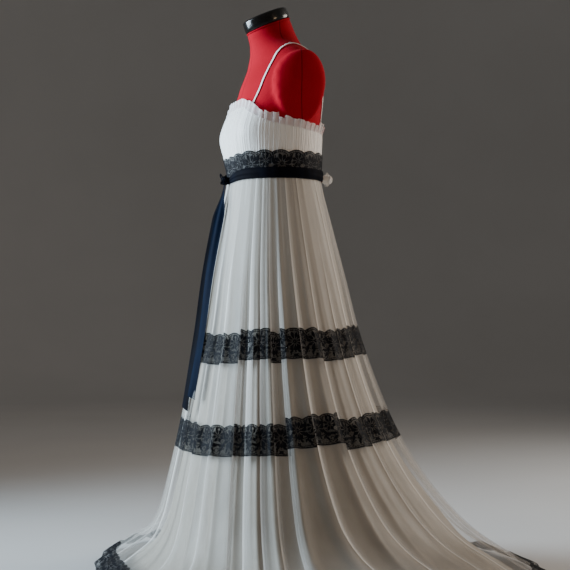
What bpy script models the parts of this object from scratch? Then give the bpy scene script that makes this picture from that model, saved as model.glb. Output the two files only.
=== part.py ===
# Empire-line gown in gathered net with black lace bands and a satin sash, on a limbless dress form.
# Sizes are in metres. The floor is z = 0, the stand's pole is the Z axis and the gown's front faces -Y.
# Angles run round the figure in degrees: 0 is the centre front, 90 its left side, 180 the centre back.

import math
from collections import namedtuple

import bmesh
import bpy
from mathutils import Vector
from mathutils.bvhtree import BVHTree

# Driving dimensions
SEAM_GAP = 0.0003
NET_WALL = 0.0012
LINING_WALL = 0.0010
BODICE_WALL = 0.0018
LACE_WALL = 0.0010
LACE_WIDTH = 0.074
RIBBON_WALL = 0.0010
RIBBON_WIDTH = 0.026
STRAP_WIDTH = 0.007
WAIST_SEAM = 0.984

# The dress form: one row for each level of the figure. front and back are half depths from centre,
# bust is how far two soft lobes stand out at the front, fullness is the section's squareness and
# tilt leans a level forwards, in degrees.
Level = namedtuple("Level", "height half_width front back centre bust fullness tilt")
FIGURE = (
    Level(0.600, 0.148, 0.094, 0.110, 0.000, 0.000, 2.2, 0.0),
    Level(0.640, 0.163, 0.103, 0.124, 0.000, 0.000, 2.2, 0.0),
    Level(0.710, 0.168, 0.105, 0.129, 0.000, 0.000, 2.2, 0.0),
    Level(0.790, 0.152, 0.099, 0.115, 0.000, 0.000, 2.2, 0.0),
    Level(0.860, 0.127, 0.093, 0.098, 0.000, 0.000, 2.2, 0.0),
    Level(0.920, 0.121, 0.096, 0.098, 0.000, 0.000, 2.0, 0.0),
    Level(0.985, 0.127, 0.105, 0.107, 0.000, 0.000, 2.0, 0.0),
    Level(1.035, 0.134, 0.107, 0.108, 0.000, 0.010, 2.05, 0.0),
    Level(1.085, 0.140, 0.106, 0.108, 0.000, 0.021, 2.1, 0.0),
    Level(1.125, 0.145, 0.099, 0.110, 0.000, 0.015, 2.1, 0.0),
    Level(1.160, 0.149, 0.089, 0.115, 0.000, 0.004, 2.1, 0.0),
    Level(1.200, 0.154, 0.079, 0.118, 0.002, 0.000, 2.0, 0.0),
    Level(1.235, 0.158, 0.076, 0.107, 0.012, 0.000, 1.9, 0.0),
    Level(1.262, 0.151, 0.077, 0.088, 0.020, 0.000, 1.75, 0.0),
    Level(1.284, 0.126, 0.075, 0.066, 0.020, 0.000, 1.7, 1.0),
    Level(1.302, 0.091, 0.070, 0.054, 0.013, 0.000, 1.8, 4.0),
    Level(1.318, 0.067, 0.062, 0.053, 0.005, 0.000, 2.0, 9.0),
    Level(1.336, 0.057, 0.056, 0.053, -0.005, 0.000, 2.0, 16.0),
    Level(1.358, 0.054, 0.0515, 0.0515, -0.0145, 0.000, 2.0, 22.4),
)
FIGURE_COLUMNS = 26
FIGURE_ROWS = 18
BUST_ANGLE = 37.0
BUST_SPREAD = 24.0
ARM_STUB = {"centre": Vector((0.148, 0.027, 1.196)), "radii": Vector((0.043, 0.051, 0.075))}

CAP = {"thickness": 0.028, "overhang": 0.0015, "rounding": 0.006, "columns": 24}
POLE_RADIUS = 0.0125
FOOT = {"radius": 0.150, "rim": 0.008, "height": 0.016, "hub_radius": 0.026, "hub_top": 0.060}

# The bodice: its upper edge, one row for each angle, the same on both sides.
Edge = namedtuple("Edge", "angle height")
NECKLINE = (
    Edge(0, 1.149),
    Edge(20, 1.148),
    Edge(34, 1.134),
    Edge(48, 1.118),
    Edge(64, 1.104),
    Edge(90, 1.094),
    Edge(120, 1.087),
    Edge(180, 1.085),
)
BODICE_EASE = 0.0056
BODICE_GATHERS = 72
GATHER_DEPTH = 0.0014
BODICE_ROWS = 4
RUFFLE = {"pleats": 44, "height": 0.021, "inner": 0.0055, "depth": 0.0032, "wall": 0.0010}
STRAP = {"front_angle": 34.0, "back_angle": 150.0, "overlap": 0.010, "wall": 0.0010, "lift": 0.0024,
         "points": 28, "shoulder": Vector((0.130, 0.046, 1.36))}

# The waist lace and sash
WAIST_LACE = {"lower": 0.987, "upper": 1.039, "lift": 0.0014, "dip": 0.008, "back_gap": 4.0}
SASH = {"columns": 36, "ease": 0.0115, "height": 0.985, "knot_dip": 0.011, "knot_spread": 20.0,
        "knot_width": 0.016}
KNOT = {"half_width": 0.0100, "half_depth": 0.0095, "half_height": 0.0120, "twist": 12.0,
        "flat_back": 0.72, "flat_foot": 0.80}
# One row for each free end of the sash: its angle at the knot and at its tip, how far it stands off
# the skirt at its middle, its length and the turn along it in degrees.
Tail = namedtuple("Tail", "name top_angle tip_angle stand_off length turn")
TAILS = (
    Tail("sash_tail_left", 4.1, 5.0, 0.0020, 0.520, 14.0),
    Tail("sash_tail_right", -4.6, -3.4, 0.0015, 0.550, -16.0),
)
TAIL_ROWS = 15
TAIL_ROOT = {"aside": 0.0036, "half_width": 0.0025}
ROSETTE = {"radius": 0.0172, "depth": 0.035, "petals": 5, "height": 0.985, "columns": 20, "rows": 6}

# The net skirt, one row for each level: how far its outside reaches at the front, side and back,
# and the squareness of its section.
Reach = namedtuple("Reach", "height front side back fullness")
NET_SKIRT = (
    Reach(0.984, 0.1105, 0.1335, 0.1130, 2.0),
    Reach(0.955, 0.1150, 0.1390, 0.1170, 2.0),
    Reach(0.860, 0.1330, 0.1610, 0.1410, 2.0),
    Reach(0.740, 0.1550, 0.1890, 0.1710, 2.0),
    Reach(0.620, 0.1730, 0.2160, 0.1990, 2.0),
    Reach(0.500, 0.1960, 0.2440, 0.2380, 2.0),
    Reach(0.380, 0.2190, 0.2750, 0.2880, 2.0),
    Reach(0.260, 0.2440, 0.3120, 0.3600, 2.05),
    Reach(0.160, 0.2680, 0.3580, 0.4430, 2.1),
    Reach(0.105, 0.2920, 0.4200, 0.4990, 2.2),
    Reach(0.075, 0.3220, 0.4900, 0.5380, 2.3),
    Reach(0.048, 0.3570, 0.5550, 0.5800, 2.3),
    Reach(0.022, 0.3920, 0.6150, 0.6300, 2.3),
    Reach(0.0014, 0.4170, 0.6550, 0.6780, 2.3),
)
LINING = (
    Reach(0.984, 0.1085, 0.1310, 0.1110, 2.0),
    Reach(0.955, 0.1110, 0.1350, 0.1130, 2.0),
    Reach(0.860, 0.1240, 0.1520, 0.1320, 2.0),
    Reach(0.740, 0.1430, 0.1770, 0.1590, 2.0),
    Reach(0.620, 0.1590, 0.2020, 0.1850, 2.0),
    Reach(0.500, 0.1790, 0.2270, 0.2200, 2.0),
    Reach(0.380, 0.2000, 0.2560, 0.2670, 2.0),
    Reach(0.260, 0.2230, 0.2900, 0.3360, 2.05),
    Reach(0.160, 0.2440, 0.3300, 0.4150, 2.1),
    Reach(0.095, 0.2650, 0.3900, 0.4680, 2.2),
    Reach(0.050, 0.2920, 0.4700, 0.5280, 2.3),
    Reach(0.022, 0.3220, 0.5350, 0.5720, 2.3),
    Reach(0.0014, 0.3510, 0.5880, 0.6100, 2.3),
)
UPPER_BAND = (0.384, 0.372)
LOWER_BAND = (0.598, 0.592)

# The skirt's folds, one row for each: the angle of its ridge at the waist and at the hem, its depth
# at the hem, and how far the upper and the lower lace band ride up on it.
Fold = namedtuple("Fold", "top hem depth upper_lift lower_lift")
FOLDS = (
    Fold(6, 6, 0.010, 0.000, 0.000),
    Fold(18, 19, 0.012, 0.000, 0.002),
    Fold(30, 33, 0.013, -0.003, -0.004),
    Fold(42, 47, 0.010, 0.000, -0.003),
    Fold(53, 60, 0.012, 0.008, 0.000),
    Fold(62, 70, 0.010, 0.010, 0.001),
    Fold(73, 84, 0.014, 0.000, 0.000),
    Fold(82, 97, 0.012, 0.008, 0.016),
    Fold(92, 109, 0.015, 0.006, 0.020),
    Fold(104, 121, 0.011, -0.002, 0.004),
    Fold(118, 134, 0.012, 0.000, 0.009),
    Fold(135, 149, 0.014, 0.004, 0.006),
    Fold(153, 163, 0.011, 0.000, 0.000),
    Fold(171, 175, 0.013, 0.000, 0.000),
    Fold(189, 187, 0.012, 0.005, 0.004),
    Fold(206, 199, 0.014, 0.000, 0.000),
    Fold(223, 212, 0.011, -0.002, 0.003),
    Fold(239, 226, 0.013, 0.000, 0.000),
    Fold(254, 240, 0.012, 0.006, 0.012),
    Fold(267, 254, 0.014, 0.008, 0.010),
    Fold(279, 268, 0.011, 0.000, 0.000),
    Fold(290, 281, 0.013, 0.000, -0.003),
    Fold(301, 294, 0.010, 0.006, 0.004),
    Fold(313, 308, 0.012, 0.000, 0.000),
    Fold(325, 323, 0.010, -0.002, -0.004),
    Fold(337, 337, 0.013, 0.000, 0.000),
    Fold(349, 350, 0.010, 0.000, 0.002),
)
NET_COLUMNS = (0.0, 0.22, 0.78)
LINING_COLUMNS = (0.0, 0.5)
LEFT_SEAM_FOLD = 6
RIGHT_SEAM_FOLD = 19
WAIST_FOLD = 0.08
NET_ROWS = (0.0, 0.04, 0.21, 0.378, 0.452, 0.596, 0.670, 0.79)
NET_LEVELS = (0.150, 0.098)
NET_HEM_ROWS = (LACE_WIDTH, 0.0)
LINING_ROWS = (0.0, 0.08, 0.28, 0.52, 0.76)
LINING_LEVELS = (0.130, 0.060)
LINING_HEM_ROWS = (0.0,)
LINING_FOLD_SHARE = 0.45

# Lace: what shows of each repeat in the solid is its scallops and its largest leaf-shaped openings.
SCALLOP_DEPTH = 0.006
LACE_LIFT = 0.0009
LACE_SEAM = 0.0016
LEAF_GAP = {"width": 0.0064, "height": 0.30, "lower": 0.34}

Paint = namedtuple("Paint", "red green blue roughness metallic")
PAINTS = {
    "net": Paint(0.86, 0.84, 0.80, 0.85, 0.0),
    "satin_white": Paint(0.88, 0.86, 0.83, 0.45, 0.0),
    "lace_black": Paint(0.012, 0.012, 0.016, 0.80, 0.0),
    "satin_black": Paint(0.010, 0.012, 0.022, 0.35, 0.0),
    "form_red": Paint(0.55, 0.02, 0.03, 0.90, 0.0),
    "cap_black": Paint(0.015, 0.015, 0.015, 0.25, 0.0),
    "stand_steel": Paint(0.35, 0.35, 0.36, 0.35, 0.9),
    "stand_black": Paint(0.02, 0.02, 0.02, 0.45, 0.0),
}


def clear_scene():
    for item in list(bpy.data.objects):
        bpy.data.objects.remove(item)


def smooth(knots, values, at):
    """The value at a place along a curve that passes through the knots and never overshoots them."""
    at = min(max(at, knots[0]), knots[-1])
    spans = [b - a for a, b in zip(knots, knots[1:])]
    rises = [(d - c) / span for c, d, span in zip(values, values[1:], spans)]

    def slope(k):
        if k in (0, len(spans)):
            return rises[min(k, len(rises) - 1)]
        before, after = rises[k - 1], rises[k]
        if before * after <= 0:
            return 0.0
        near, far = spans[k - 1] + 2 * spans[k], 2 * spans[k - 1] + spans[k]
        return (near + far) / (near / before + far / after)

    k = max(i for i in range(len(spans)) if i == 0 or knots[i] <= at)
    t = (at - knots[k]) / spans[k]
    start, end = slope(k) * spans[k], slope(k + 1) * spans[k]
    return (
        values[k] * (1 + 2 * t) * (1 - t) ** 2
        + values[k + 1] * t * t * (3 - 2 * t)
        + start * t * (1 - t) ** 2
        - end * t * t * (1 - t)
    )


def ramp(start, end, at):
    t = min(max((at - start) / (end - start), 0.0), 1.0)
    return t * t * (3 - 2 * t)


def level_value(name, height):
    return smooth([lv.height for lv in FIGURE], [getattr(lv, name) for lv in FIGURE], height)


def figure_point(angle, height, ease=0.0):
    """A point of the figure, or ease outside it, at one angle of the level that has this height."""
    turn = math.radians(angle)
    power = 2 / level_value("fullness", height)
    side = math.copysign(abs(math.sin(turn)) ** power, math.sin(turn))
    ahead = math.copysign(abs(math.cos(turn)) ** power, math.cos(turn))
    depth = level_value("front" if ahead > 0 else "back", height)
    lobes = sum(
        math.exp(-(((angle + 180) % 360 - 180 - centre) / BUST_SPREAD) ** 2)
        for centre in (BUST_ANGLE, -BUST_ANGLE)
    )
    out = ease + level_value("bust", height) * lobes
    x = level_value("half_width", height) * side + out * math.sin(turn)
    y = -depth * ahead - out * math.cos(turn)
    tilt = math.tan(math.radians(level_value("tilt", height)))
    return Vector((x, y + level_value("centre", height), height + y * tilt))


def paint(name):
    found = bpy.data.materials.get(name)
    if found:
        return found
    values = PAINTS[name]
    made = bpy.data.materials.new(name)
    made.use_nodes = True
    shader = made.node_tree.nodes["Principled BSDF"]
    shader.inputs["Base Color"].default_value = (values.red, values.green, values.blue, 1)
    shader.inputs["Roughness"].default_value = values.roughness
    shader.inputs["Metallic"].default_value = values.metallic
    return made


def part_object(name, mesh, paint_name):
    mesh.materials.append(paint(paint_name))
    made = bpy.data.objects.new(name, mesh)
    bpy.data.collections["gown_on_dress_form"].objects.link(made)
    return made


def mesh_object(name, points, faces, paint_name):
    mesh = bpy.data.meshes.new(name)
    mesh.from_pydata([tuple(p) for p in points], [], faces)
    mesh.update()
    return part_object(name, mesh, paint_name)


def thicken(item, wall, outward=False):
    """Gives an open surface its wall, on the inner side unless it is to grow outward."""
    shell = item.modifiers.new("wall", "SOLIDIFY")
    shell.thickness = wall
    shell.offset = 1 if outward else -1
    return item


def grid_faces(rows, columns, closed):
    """Triangles of a grid whose rows run downwards and whose columns run round to the left."""
    faces = []
    for i in range(rows - 1):
        for j in range(columns if closed else columns - 1):
            k = (j + 1) % columns
            a, b, c, d = i * columns + j, (i + 1) * columns + j, (i + 1) * columns + k, i * columns + k
            faces += [(a, b, c), (a, c, d)]
    return faces


def cloth_wall(name, rows, wall, paint_name, closed=False, outward=False):
    points = [p for row in rows for p in row]
    item = mesh_object(name, points, grid_faces(len(rows), len(rows[0]), closed), paint_name)
    return thicken(item, wall, outward)


def parted(rows, at_first=True, at_last=True):
    """The rows of a panel with its end columns drawn in by half the gap of a seam."""
    drawn = []
    for row in rows:
        row = [p.copy() for p in row]
        if at_first:
            row[0] += (row[1] - row[0]).normalized() * SEAM_GAP / 2
        if at_last:
            row[-1] += (row[-2] - row[-1]).normalized() * SEAM_GAP / 2
        drawn.append(row)
    return drawn


# Dress form
def arm_stub(name, side):
    bm = bmesh.new()
    bmesh.ops.create_uvsphere(bm, u_segments=14, v_segments=9, radius=1.0)
    radii = ARM_STUB["radii"]
    centre = Vector((side * ARM_STUB["centre"].x, ARM_STUB["centre"].y, ARM_STUB["centre"].z))
    for v in bm.verts:
        v.co = centre + Vector((v.co.x * radii.x, v.co.y * radii.y, v.co.z * radii.z))
    mesh = bpy.data.meshes.new(name)
    bm.to_mesh(mesh)
    bm.free()
    stub = bpy.data.objects.new(name, mesh)
    bpy.data.collections["cutters"].objects.link(stub)
    stub.hide_render = True
    stub.display_type = "WIRE"
    return stub


def build_torso():
    """A closed loft through the figure's levels, joined to the two rounded arm stubs."""
    top, bottom = FIGURE[-1].height, FIGURE[0].height
    shares = [i / (FIGURE_ROWS - 1) for i in range(FIGURE_ROWS)]
    heights = [top - (top - bottom) * (0.36 * t + 0.64 * t * t) for t in shares]
    angles = [360 * j / FIGURE_COLUMNS for j in range(FIGURE_COLUMNS)]
    points = [figure_point(a, h) for h in heights for a in angles]
    faces = grid_faces(FIGURE_ROWS, FIGURE_COLUMNS, True)
    faces.append(tuple(range(FIGURE_COLUMNS)))
    faces.append(tuple(reversed(range(len(points) - FIGURE_COLUMNS, len(points)))))
    torso = mesh_object("form_torso", points, faces, "form_red")
    for name, side in (("arm_stub_left", 1), ("arm_stub_right", -1)):
        join = torso.modifiers.new(name, "BOOLEAN")
        join.operation = "UNION"
        join.object = arm_stub(name, side)
    return torso


def build_cap():
    """A rounded disc that follows the tilted top of the neck."""
    neck = FIGURE[-1]
    lean = math.radians(neck.tilt)
    up = Vector((0, -math.sin(lean), math.cos(lean)))
    across = Vector((0, math.cos(lean), math.sin(lean)))
    centre = Vector((0, neck.centre, neck.height)) + up * SEAM_GAP * 2
    depth = neck.front / math.cos(lean) + CAP["overhang"]
    width = neck.half_width + CAP["overhang"]
    rounding = CAP["rounding"]
    profile = [(0.0, -0.002), (0.0, 0.0)]
    for turn in (0, 30, 60, 90):
        bend = math.radians(turn)
        profile.append((CAP["thickness"] - rounding * (1 - math.sin(bend)), rounding * (math.cos(bend) - 1)))
    profile.append((CAP["thickness"] + 0.002, -0.03))
    points = []
    for rise, grow in reversed(profile):
        for j in range(CAP["columns"]):
            turn = 2 * math.pi * j / CAP["columns"]
            points.append(
                centre
                + up * rise
                + Vector((math.sin(turn) * (width + grow), 0, 0))
                - across * math.cos(turn) * (depth + grow)
            )
    rows = len(profile)
    faces = grid_faces(rows, CAP["columns"], True)
    faces.append(tuple(range(CAP["columns"])))
    faces.append(tuple(reversed(range(len(points) - CAP["columns"], len(points)))))
    return mesh_object("form_neck_cap", points, faces, "cap_black")


def turned(name, profile, segments, paint_name):
    """A closed shape turned about the pole's axis from (radius, height) pairs, top to bottom."""
    mesh = bpy.data.meshes.new(name)
    points = [(radius, 0, height) for radius, height in profile]
    mesh.from_pydata(points, [(i, i + 1) for i in range(len(points) - 1)], [])
    item = part_object(name, mesh, paint_name)
    screw = item.modifiers.new("turn", "SCREW")
    screw.steps = screw.render_steps = segments
    screw.use_merge_vertices = True
    screw.merge_threshold = 0.0001
    return item


def build_stand():
    floor_disc = [
        (0.0, FOOT["hub_top"]),
        (FOOT["hub_radius"] * 0.8, FOOT["hub_top"]),
        (FOOT["hub_radius"], FOOT["hub_top"] * 0.6),
        (FOOT["hub_radius"] * 1.5, FOOT["height"]),
        (FOOT["radius"] - FOOT["rim"], FOOT["height"] - 0.004),
        (FOOT["radius"], FOOT["rim"]),
        (FOOT["radius"], 0.002),
        (FOOT["radius"] - 0.002, 0.0),
        (0.0, 0.0),
    ]
    turned("stand_foot", floor_disc, 24, "stand_black")
    pole_top, pole_foot = FIGURE[0].height - SEAM_GAP, FOOT["hub_top"] + SEAM_GAP
    pole = [(0.0, pole_top), (POLE_RADIUS, pole_top), (POLE_RADIUS, pole_foot), (0.0, pole_foot)]
    turned("stand_pole", pole, 16, "stand_steel")


# Bodice
def neckline(angle):
    angle = abs((angle + 180) % 360 - 180)
    return smooth([e.angle for e in NECKLINE], [e.height for e in NECKLINE], angle)


def build_bodice():
    """Three panels whose columns are the ridges and hollows of the gathers, parted at their seams."""
    columns = BODICE_GATHERS * 2
    rows = []
    for i in range(BODICE_ROWS):
        share = 1 - i / (BODICE_ROWS - 1)
        row = []
        for j in range(columns + 1):
            angle = -90 + 360 * j / columns
            height = WAIST_SEAM + SEAM_GAP + share * (neckline(angle) - WAIST_SEAM - SEAM_GAP)
            unevenness = 0.75 + 0.25 * math.sin(2.3 * j)
            ridge = GATHER_DEPTH * unevenness if j % 2 else 0.0
            row.append(figure_point(angle, height, BODICE_EASE + ridge))
        rows.append(row)
    quarter = columns // 4
    panels = (
        ("bodice_front", 0, 2 * quarter),
        ("bodice_back_left", 2 * quarter, 3 * quarter),
        ("bodice_back_right", 3 * quarter, 4 * quarter),
    )
    for name, first, last in panels:
        part = parted([row[first : last + 1] for row in rows])
        cloth_wall(name, part, BODICE_WALL, "satin_white")


def build_ruffle():
    """A strip of box pleats that stands on the bodice's upper edge."""
    steps = ((0.00, 1.0), (0.60, 1.0), (0.80, 0.0))
    top, foot = [], []
    for k in range(RUFFLE["pleats"]):
        for share, out in steps:
            angle = 360 * (k + share) / RUFFLE["pleats"]
            ease = RUFFLE["inner"] + RUFFLE["depth"] * out
            foot_height = neckline(angle) + SEAM_GAP * 3
            rise = RUFFLE["height"] * (1 + 0.10 * math.sin(2.1 * k)) - 0.002 * (1 - out)
            foot.append(figure_point(angle, foot_height, RUFFLE["inner"] + RUFFLE["depth"] * out * 0.35))
            top.append(figure_point(angle, foot_height + rise, ease))
    cloth_wall("neck_ruffle", [top, foot], RUFFLE["wall"], "net", closed=True)


def spaced(line, count):
    """The same line with its points at even distances."""
    travelled = [0.0]
    for a, b in zip(line, line[1:]):
        travelled.append(travelled[-1] + (b - a).length)
    points = []
    for i in range(count):
        at = travelled[-1] * i / (count - 1)
        k = max(n for n in range(len(line) - 1) if n == 0 or travelled[n] <= at)
        points.append(line[k].lerp(line[k + 1], (at - travelled[k]) / (travelled[k + 1] - travelled[k])))
    return points


def strap_route(surface, side):
    """Points and outward directions along a strap, from inside the front edge over the shoulder."""
    start = figure_point(STRAP["front_angle"], neckline(STRAP["front_angle"]) - STRAP["overlap"])
    end = figure_point(STRAP["back_angle"], neckline(STRAP["back_angle"]) - STRAP["overlap"])
    crown = STRAP["shoulder"]
    line = []
    for i in range(STRAP["points"]):
        t = i / (STRAP["points"] - 1)
        guide = start * (1 - t) ** 2 + crown * 2 * t * (1 - t) * 1.15 + end * t * t
        line.append(Vector((side * guide.x, guide.y, guide.z)))
    for _ in range(4):
        line = spaced([surface.find_nearest(place)[0] for place in line], STRAP["points"])
    return [surface.find_nearest(place)[:2] for place in line]


def build_strap(name, side, surface):
    """A flat band that lies on the shoulder; its ends lie inside the bodice's upper edge."""
    route = strap_route(surface, side)
    edges = [[], []]
    for i, (place, normal) in enumerate(route):
        before, after = route[max(i - 1, 0)][0], route[min(i + 1, len(route) - 1)][0]
        across = (after - before).cross(normal).normalized() * STRAP_WIDTH / 2
        for edge, offset in zip(edges, (-across, across)):
            seat, out, _, _ = surface.find_nearest(place + offset)
            edge.append(seat + (out + normal).normalized() * STRAP["lift"])
    cloth_wall(name, edges, STRAP["wall"], "satin_white", outward=True)


# Skirt
def reach_point(table, angle, share):
    """A point of a skirt's outline at one angle, share of the way down its table of levels."""
    knots = list(range(len(table)))
    height = smooth(knots, [r.height for r in table], share)
    depth = smooth(knots, [r.front if math.cos(math.radians(angle)) > 0 else r.back for r in table], share)
    side = smooth(knots, [r.side for r in table], share)
    power = 2 / smooth(knots, [r.fullness for r in table], share)
    turn = math.radians(angle)
    across = math.copysign(abs(math.sin(turn)) ** power, math.sin(turn))
    ahead = math.copysign(abs(math.cos(turn)) ** power, math.cos(turn))
    return Vector((side * across, -depth * ahead, height))


def drop_line(table, top_angle, hem_angle):
    """Points down the cloth with its outward direction and the distance from the waist at each."""
    steps = 12 * (len(table) - 1)
    line = []
    for i in range(steps + 1):
        share = i / 12
        angle = top_angle + (hem_angle - top_angle) * ramp(0.0, 0.8 * steps / 12, share)
        line.append((reach_point(table, angle, share), angle))
    travelled = [0.0]
    for (a, _), (b, _) in zip(line, line[1:]):
        travelled.append(travelled[-1] + (b - a).length)
    return line, travelled


def along_drop(drop, length):
    """The point at one distance from the waist, and the cloth's outward direction there."""
    line, travelled = drop
    k = max(i for i in range(len(line) - 1) if i == 0 or travelled[i] <= length)
    t = (length - travelled[k]) / (travelled[k + 1] - travelled[k])
    angle = math.radians(line[k][1])
    down = (line[k + 1][0] - line[k][0]).normalized()
    around = Vector((math.cos(angle), math.sin(angle), 0))
    return line[k][0].lerp(line[k + 1][0], t), down.cross(around).normalized()


def fold_columns(shares):
    """For each column of a skirt: its angles at waist and hem, fold depth there and lace lifts."""
    columns = []
    for k, fold in enumerate(FOLDS):
        following = FOLDS[(k + 1) % len(FOLDS)]
        wrap = 360 if k == len(FOLDS) - 1 else 0
        for share in shares:
            ridge = 1.0 if share == 0 else 0.0
            near = fold if share < 0.5 else following
            columns.append(
                (
                    fold.top + (following.top + wrap - fold.top) * share,
                    fold.hem + (following.hem + wrap - fold.hem) * share,
                    ridge * fold.depth,
                    {"upper_lace": near.upper_lift, "lower_lace": near.lower_lift},
                )
            )
    return columns


def distance_at(drop, height):
    """How far down the cloth a height is reached."""
    line, travelled = drop
    k = max(i for i in range(len(line) - 1) if i == 0 or line[i][0].z >= height)
    start, end = line[k][0].z, line[k + 1][0].z
    return travelled[k] + (travelled[k + 1] - travelled[k]) * (start - height) / (start - end)


def skirt_rows(table, shares, near_rows, levels, hem_rows, fold_share):
    """Rows of points round a skirt, top to bottom, and the distance from the waist of each point.

    near_rows are distances from the waist, levels are heights and hem_rows are distances from the hem.
    """
    columns, lengths = [], []
    for top_angle, hem_angle, depth, _ in fold_columns(shares):
        drop = drop_line(table, top_angle, hem_angle)
        at = list(near_rows) + [distance_at(drop, height) for height in levels]
        at += [drop[1][-1] - r for r in hem_rows]
        column = []
        for distance in at:
            place, out = along_drop(drop, distance)
            growth = WAIST_FOLD * ramp(0.0, 0.02, distance) + (1 - WAIST_FOLD) * ramp(0.03, 0.75, distance)
            column.append(place + out * depth * fold_share * growth)
        columns.append(column)
        lengths.append(at)
    rows = [list(row) for row in zip(*columns)]
    return rows, [list(row) for row in zip(*lengths)]


def seam_spans(shares):
    """The columns where the front and back panels start and end, at the side seams."""
    count = len(FOLDS) * len(shares)
    left = LEFT_SEAM_FOLD * len(shares) + 1
    right = RIGHT_SEAM_FOLD * len(shares) + len(shares) - 1
    return {"front": (right, left + count), "back": (left, right)}


def skirt_panels(rows, shares):
    """The front and back panels of a skirt, as lists of rows that end at the side seams."""
    count = len(rows[0])
    return {
        name: [[row[j % count] for j in range(first, last + 1)] for row in rows]
        for name, (first, last) in seam_spans(shares).items()
    }


class ClothPoints:
    """The points of a closed skirt, read at any column and distance, and moved out where asked."""

    def __init__(self, rows, distances):
        self.rows, self.distances, self.count = rows, distances, len(rows[0])
        self.normals = [[self.normal(i, j) for j in range(self.count)] for i in range(len(rows))]

    def normal(self, i, j):
        above, below = self.rows[max(i - 1, 0)][j], self.rows[min(i + 1, len(self.rows) - 1)][j]
        before, after = self.rows[i][j - 1], self.rows[i][(j + 1) % self.count]
        return (below - above).cross(after - before).normalized()

    def on_column(self, j, distance):
        j %= self.count
        k = max(i for i in range(len(self.rows) - 1) if i == 0 or self.distances[i][j] <= distance)
        start, end = self.distances[k][j], self.distances[k + 1][j]
        t = (distance - start) / (end - start)
        return self.rows[k][j].lerp(self.rows[k + 1][j], t), self.normals[k][j].lerp(self.normals[k + 1][j], t)

    def at(self, column, distances, lift):
        """The point between two columns, for the distance from the waist of each of them."""
        j = math.floor(column)
        t = column - j
        (a, na), (b, nb) = self.on_column(j, distances[0]), self.on_column(j + 1, distances[1])
        return a.lerp(b, t) + na.lerp(nb, t).normalized() * lift


def lace_cells(place, first, last, width, gap_width):
    """Points and faces of a lace strip with a scallop on each column and leaf-shaped openings.

    place(column, distance from the lower edge) gives a point; gap_width is a share of a column.
    """
    points, faces = [], []
    for j in range(first, last + 1):
        points += [place(j, 0.0), place(j, width - SCALLOP_DEPTH)]
    for n, j in enumerate(range(first, last)):
        a, d, b, c = 2 * n, 2 * n + 1, 2 * n + 2, 2 * n + 3
        peak = len(points)
        points.append(place(j + 0.5, width))
        gap = gap_width(j)
        if not gap:
            faces += [(a, b, c), (a, c, d), (d, c, peak)]
            continue
        lower, upper = width * LEAF_GAP["lower"], width * (LEAF_GAP["lower"] + LEAF_GAP["height"])
        south, east, north, west = range(peak + 1, peak + 5)
        points += [
            place(j + 0.5, lower),
            place(j + 0.5 + gap / 2, (lower + upper) / 2),
            place(j + 0.5, upper),
            place(j + 0.5 - gap / 2, (lower + upper) / 2),
        ]
        faces += [
            (a, b, south),
            (b, east, south),
            (b, c, east),
            (c, north, east),
            (c, peak, north),
            (peak, d, north),
            (d, west, north),
            (d, a, west),
            (a, south, west),
        ]
    return points, faces


def build_skirt_lace(name, cloth, start, gap_every, lace_lift):
    """A lace band on the net skirt as a front and a back strip, each made from the skirt's points."""
    columns = fold_columns(NET_COLUMNS)
    count = len(columns)

    def edge(j):
        _, hem_angle, _, lifts = columns[j % count]
        if start is None:
            return cloth.distances[-1][j % count]
        to_back = ramp(60, 180, abs((hem_angle + 180) % 360 - 180))
        return start[0] + (start[1] - start[0]) * to_back + LACE_WIDTH - lifts[name]

    for side, (first, last) in seam_spans(NET_COLUMNS).items():

        def place(column, rise):
            inset = LACE_SEAM / 2 / 0.012
            column = min(max(column, first + inset), last - inset)
            j = math.floor(column)
            return cloth.at(column, (edge(j) - rise, edge(j + 1) - rise), lace_lift)

        def gap_width(j):
            if (j - first) % gap_every or j == last - 1:
                return 0.0
            a, b = place(j + 0.3, LACE_WIDTH / 2), place(j + 0.7, LACE_WIDTH / 2)
            return min(LEAF_GAP["width"] / ((b - a).length / 0.4), 0.6)

        points, faces = lace_cells(place, first, last, LACE_WIDTH, gap_width)
        item = mesh_object(f"{name}_{side}", points, faces, "lace_black")
        thicken(item, LACE_WALL, outward=True)


def build_skirts():
    net, distances = skirt_rows(NET_SKIRT, NET_COLUMNS, NET_ROWS, NET_LEVELS, NET_HEM_ROWS, 1.0)
    lining, _ = skirt_rows(
        LINING, LINING_COLUMNS, LINING_ROWS, LINING_LEVELS, LINING_HEM_ROWS, LINING_FOLD_SHARE
    )
    for side, rows in skirt_panels(net, NET_COLUMNS).items():
        cloth_wall(f"net_skirt_{side}", parted(rows), NET_WALL, "net")
    for side, rows in skirt_panels(lining, LINING_COLUMNS).items():
        cloth_wall(f"skirt_lining_{side}", parted(rows), LINING_WALL, "satin_white")
    cloth = ClothPoints(net, distances)
    build_skirt_lace("upper_lace", cloth, UPPER_BAND, 3, LACE_LIFT)
    build_skirt_lace("lower_lace", cloth, LOWER_BAND, 3, LACE_LIFT)
    build_skirt_lace("hem_lace", cloth, None, 4, LACE_LIFT * 2)


# Waist lace, sash and rosette
def gather_ridge(angle, height):
    """A point of the bodice's outside, as if a gather's ridge ran through it."""
    return figure_point(angle, height, BODICE_EASE + GATHER_DEPTH)


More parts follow.
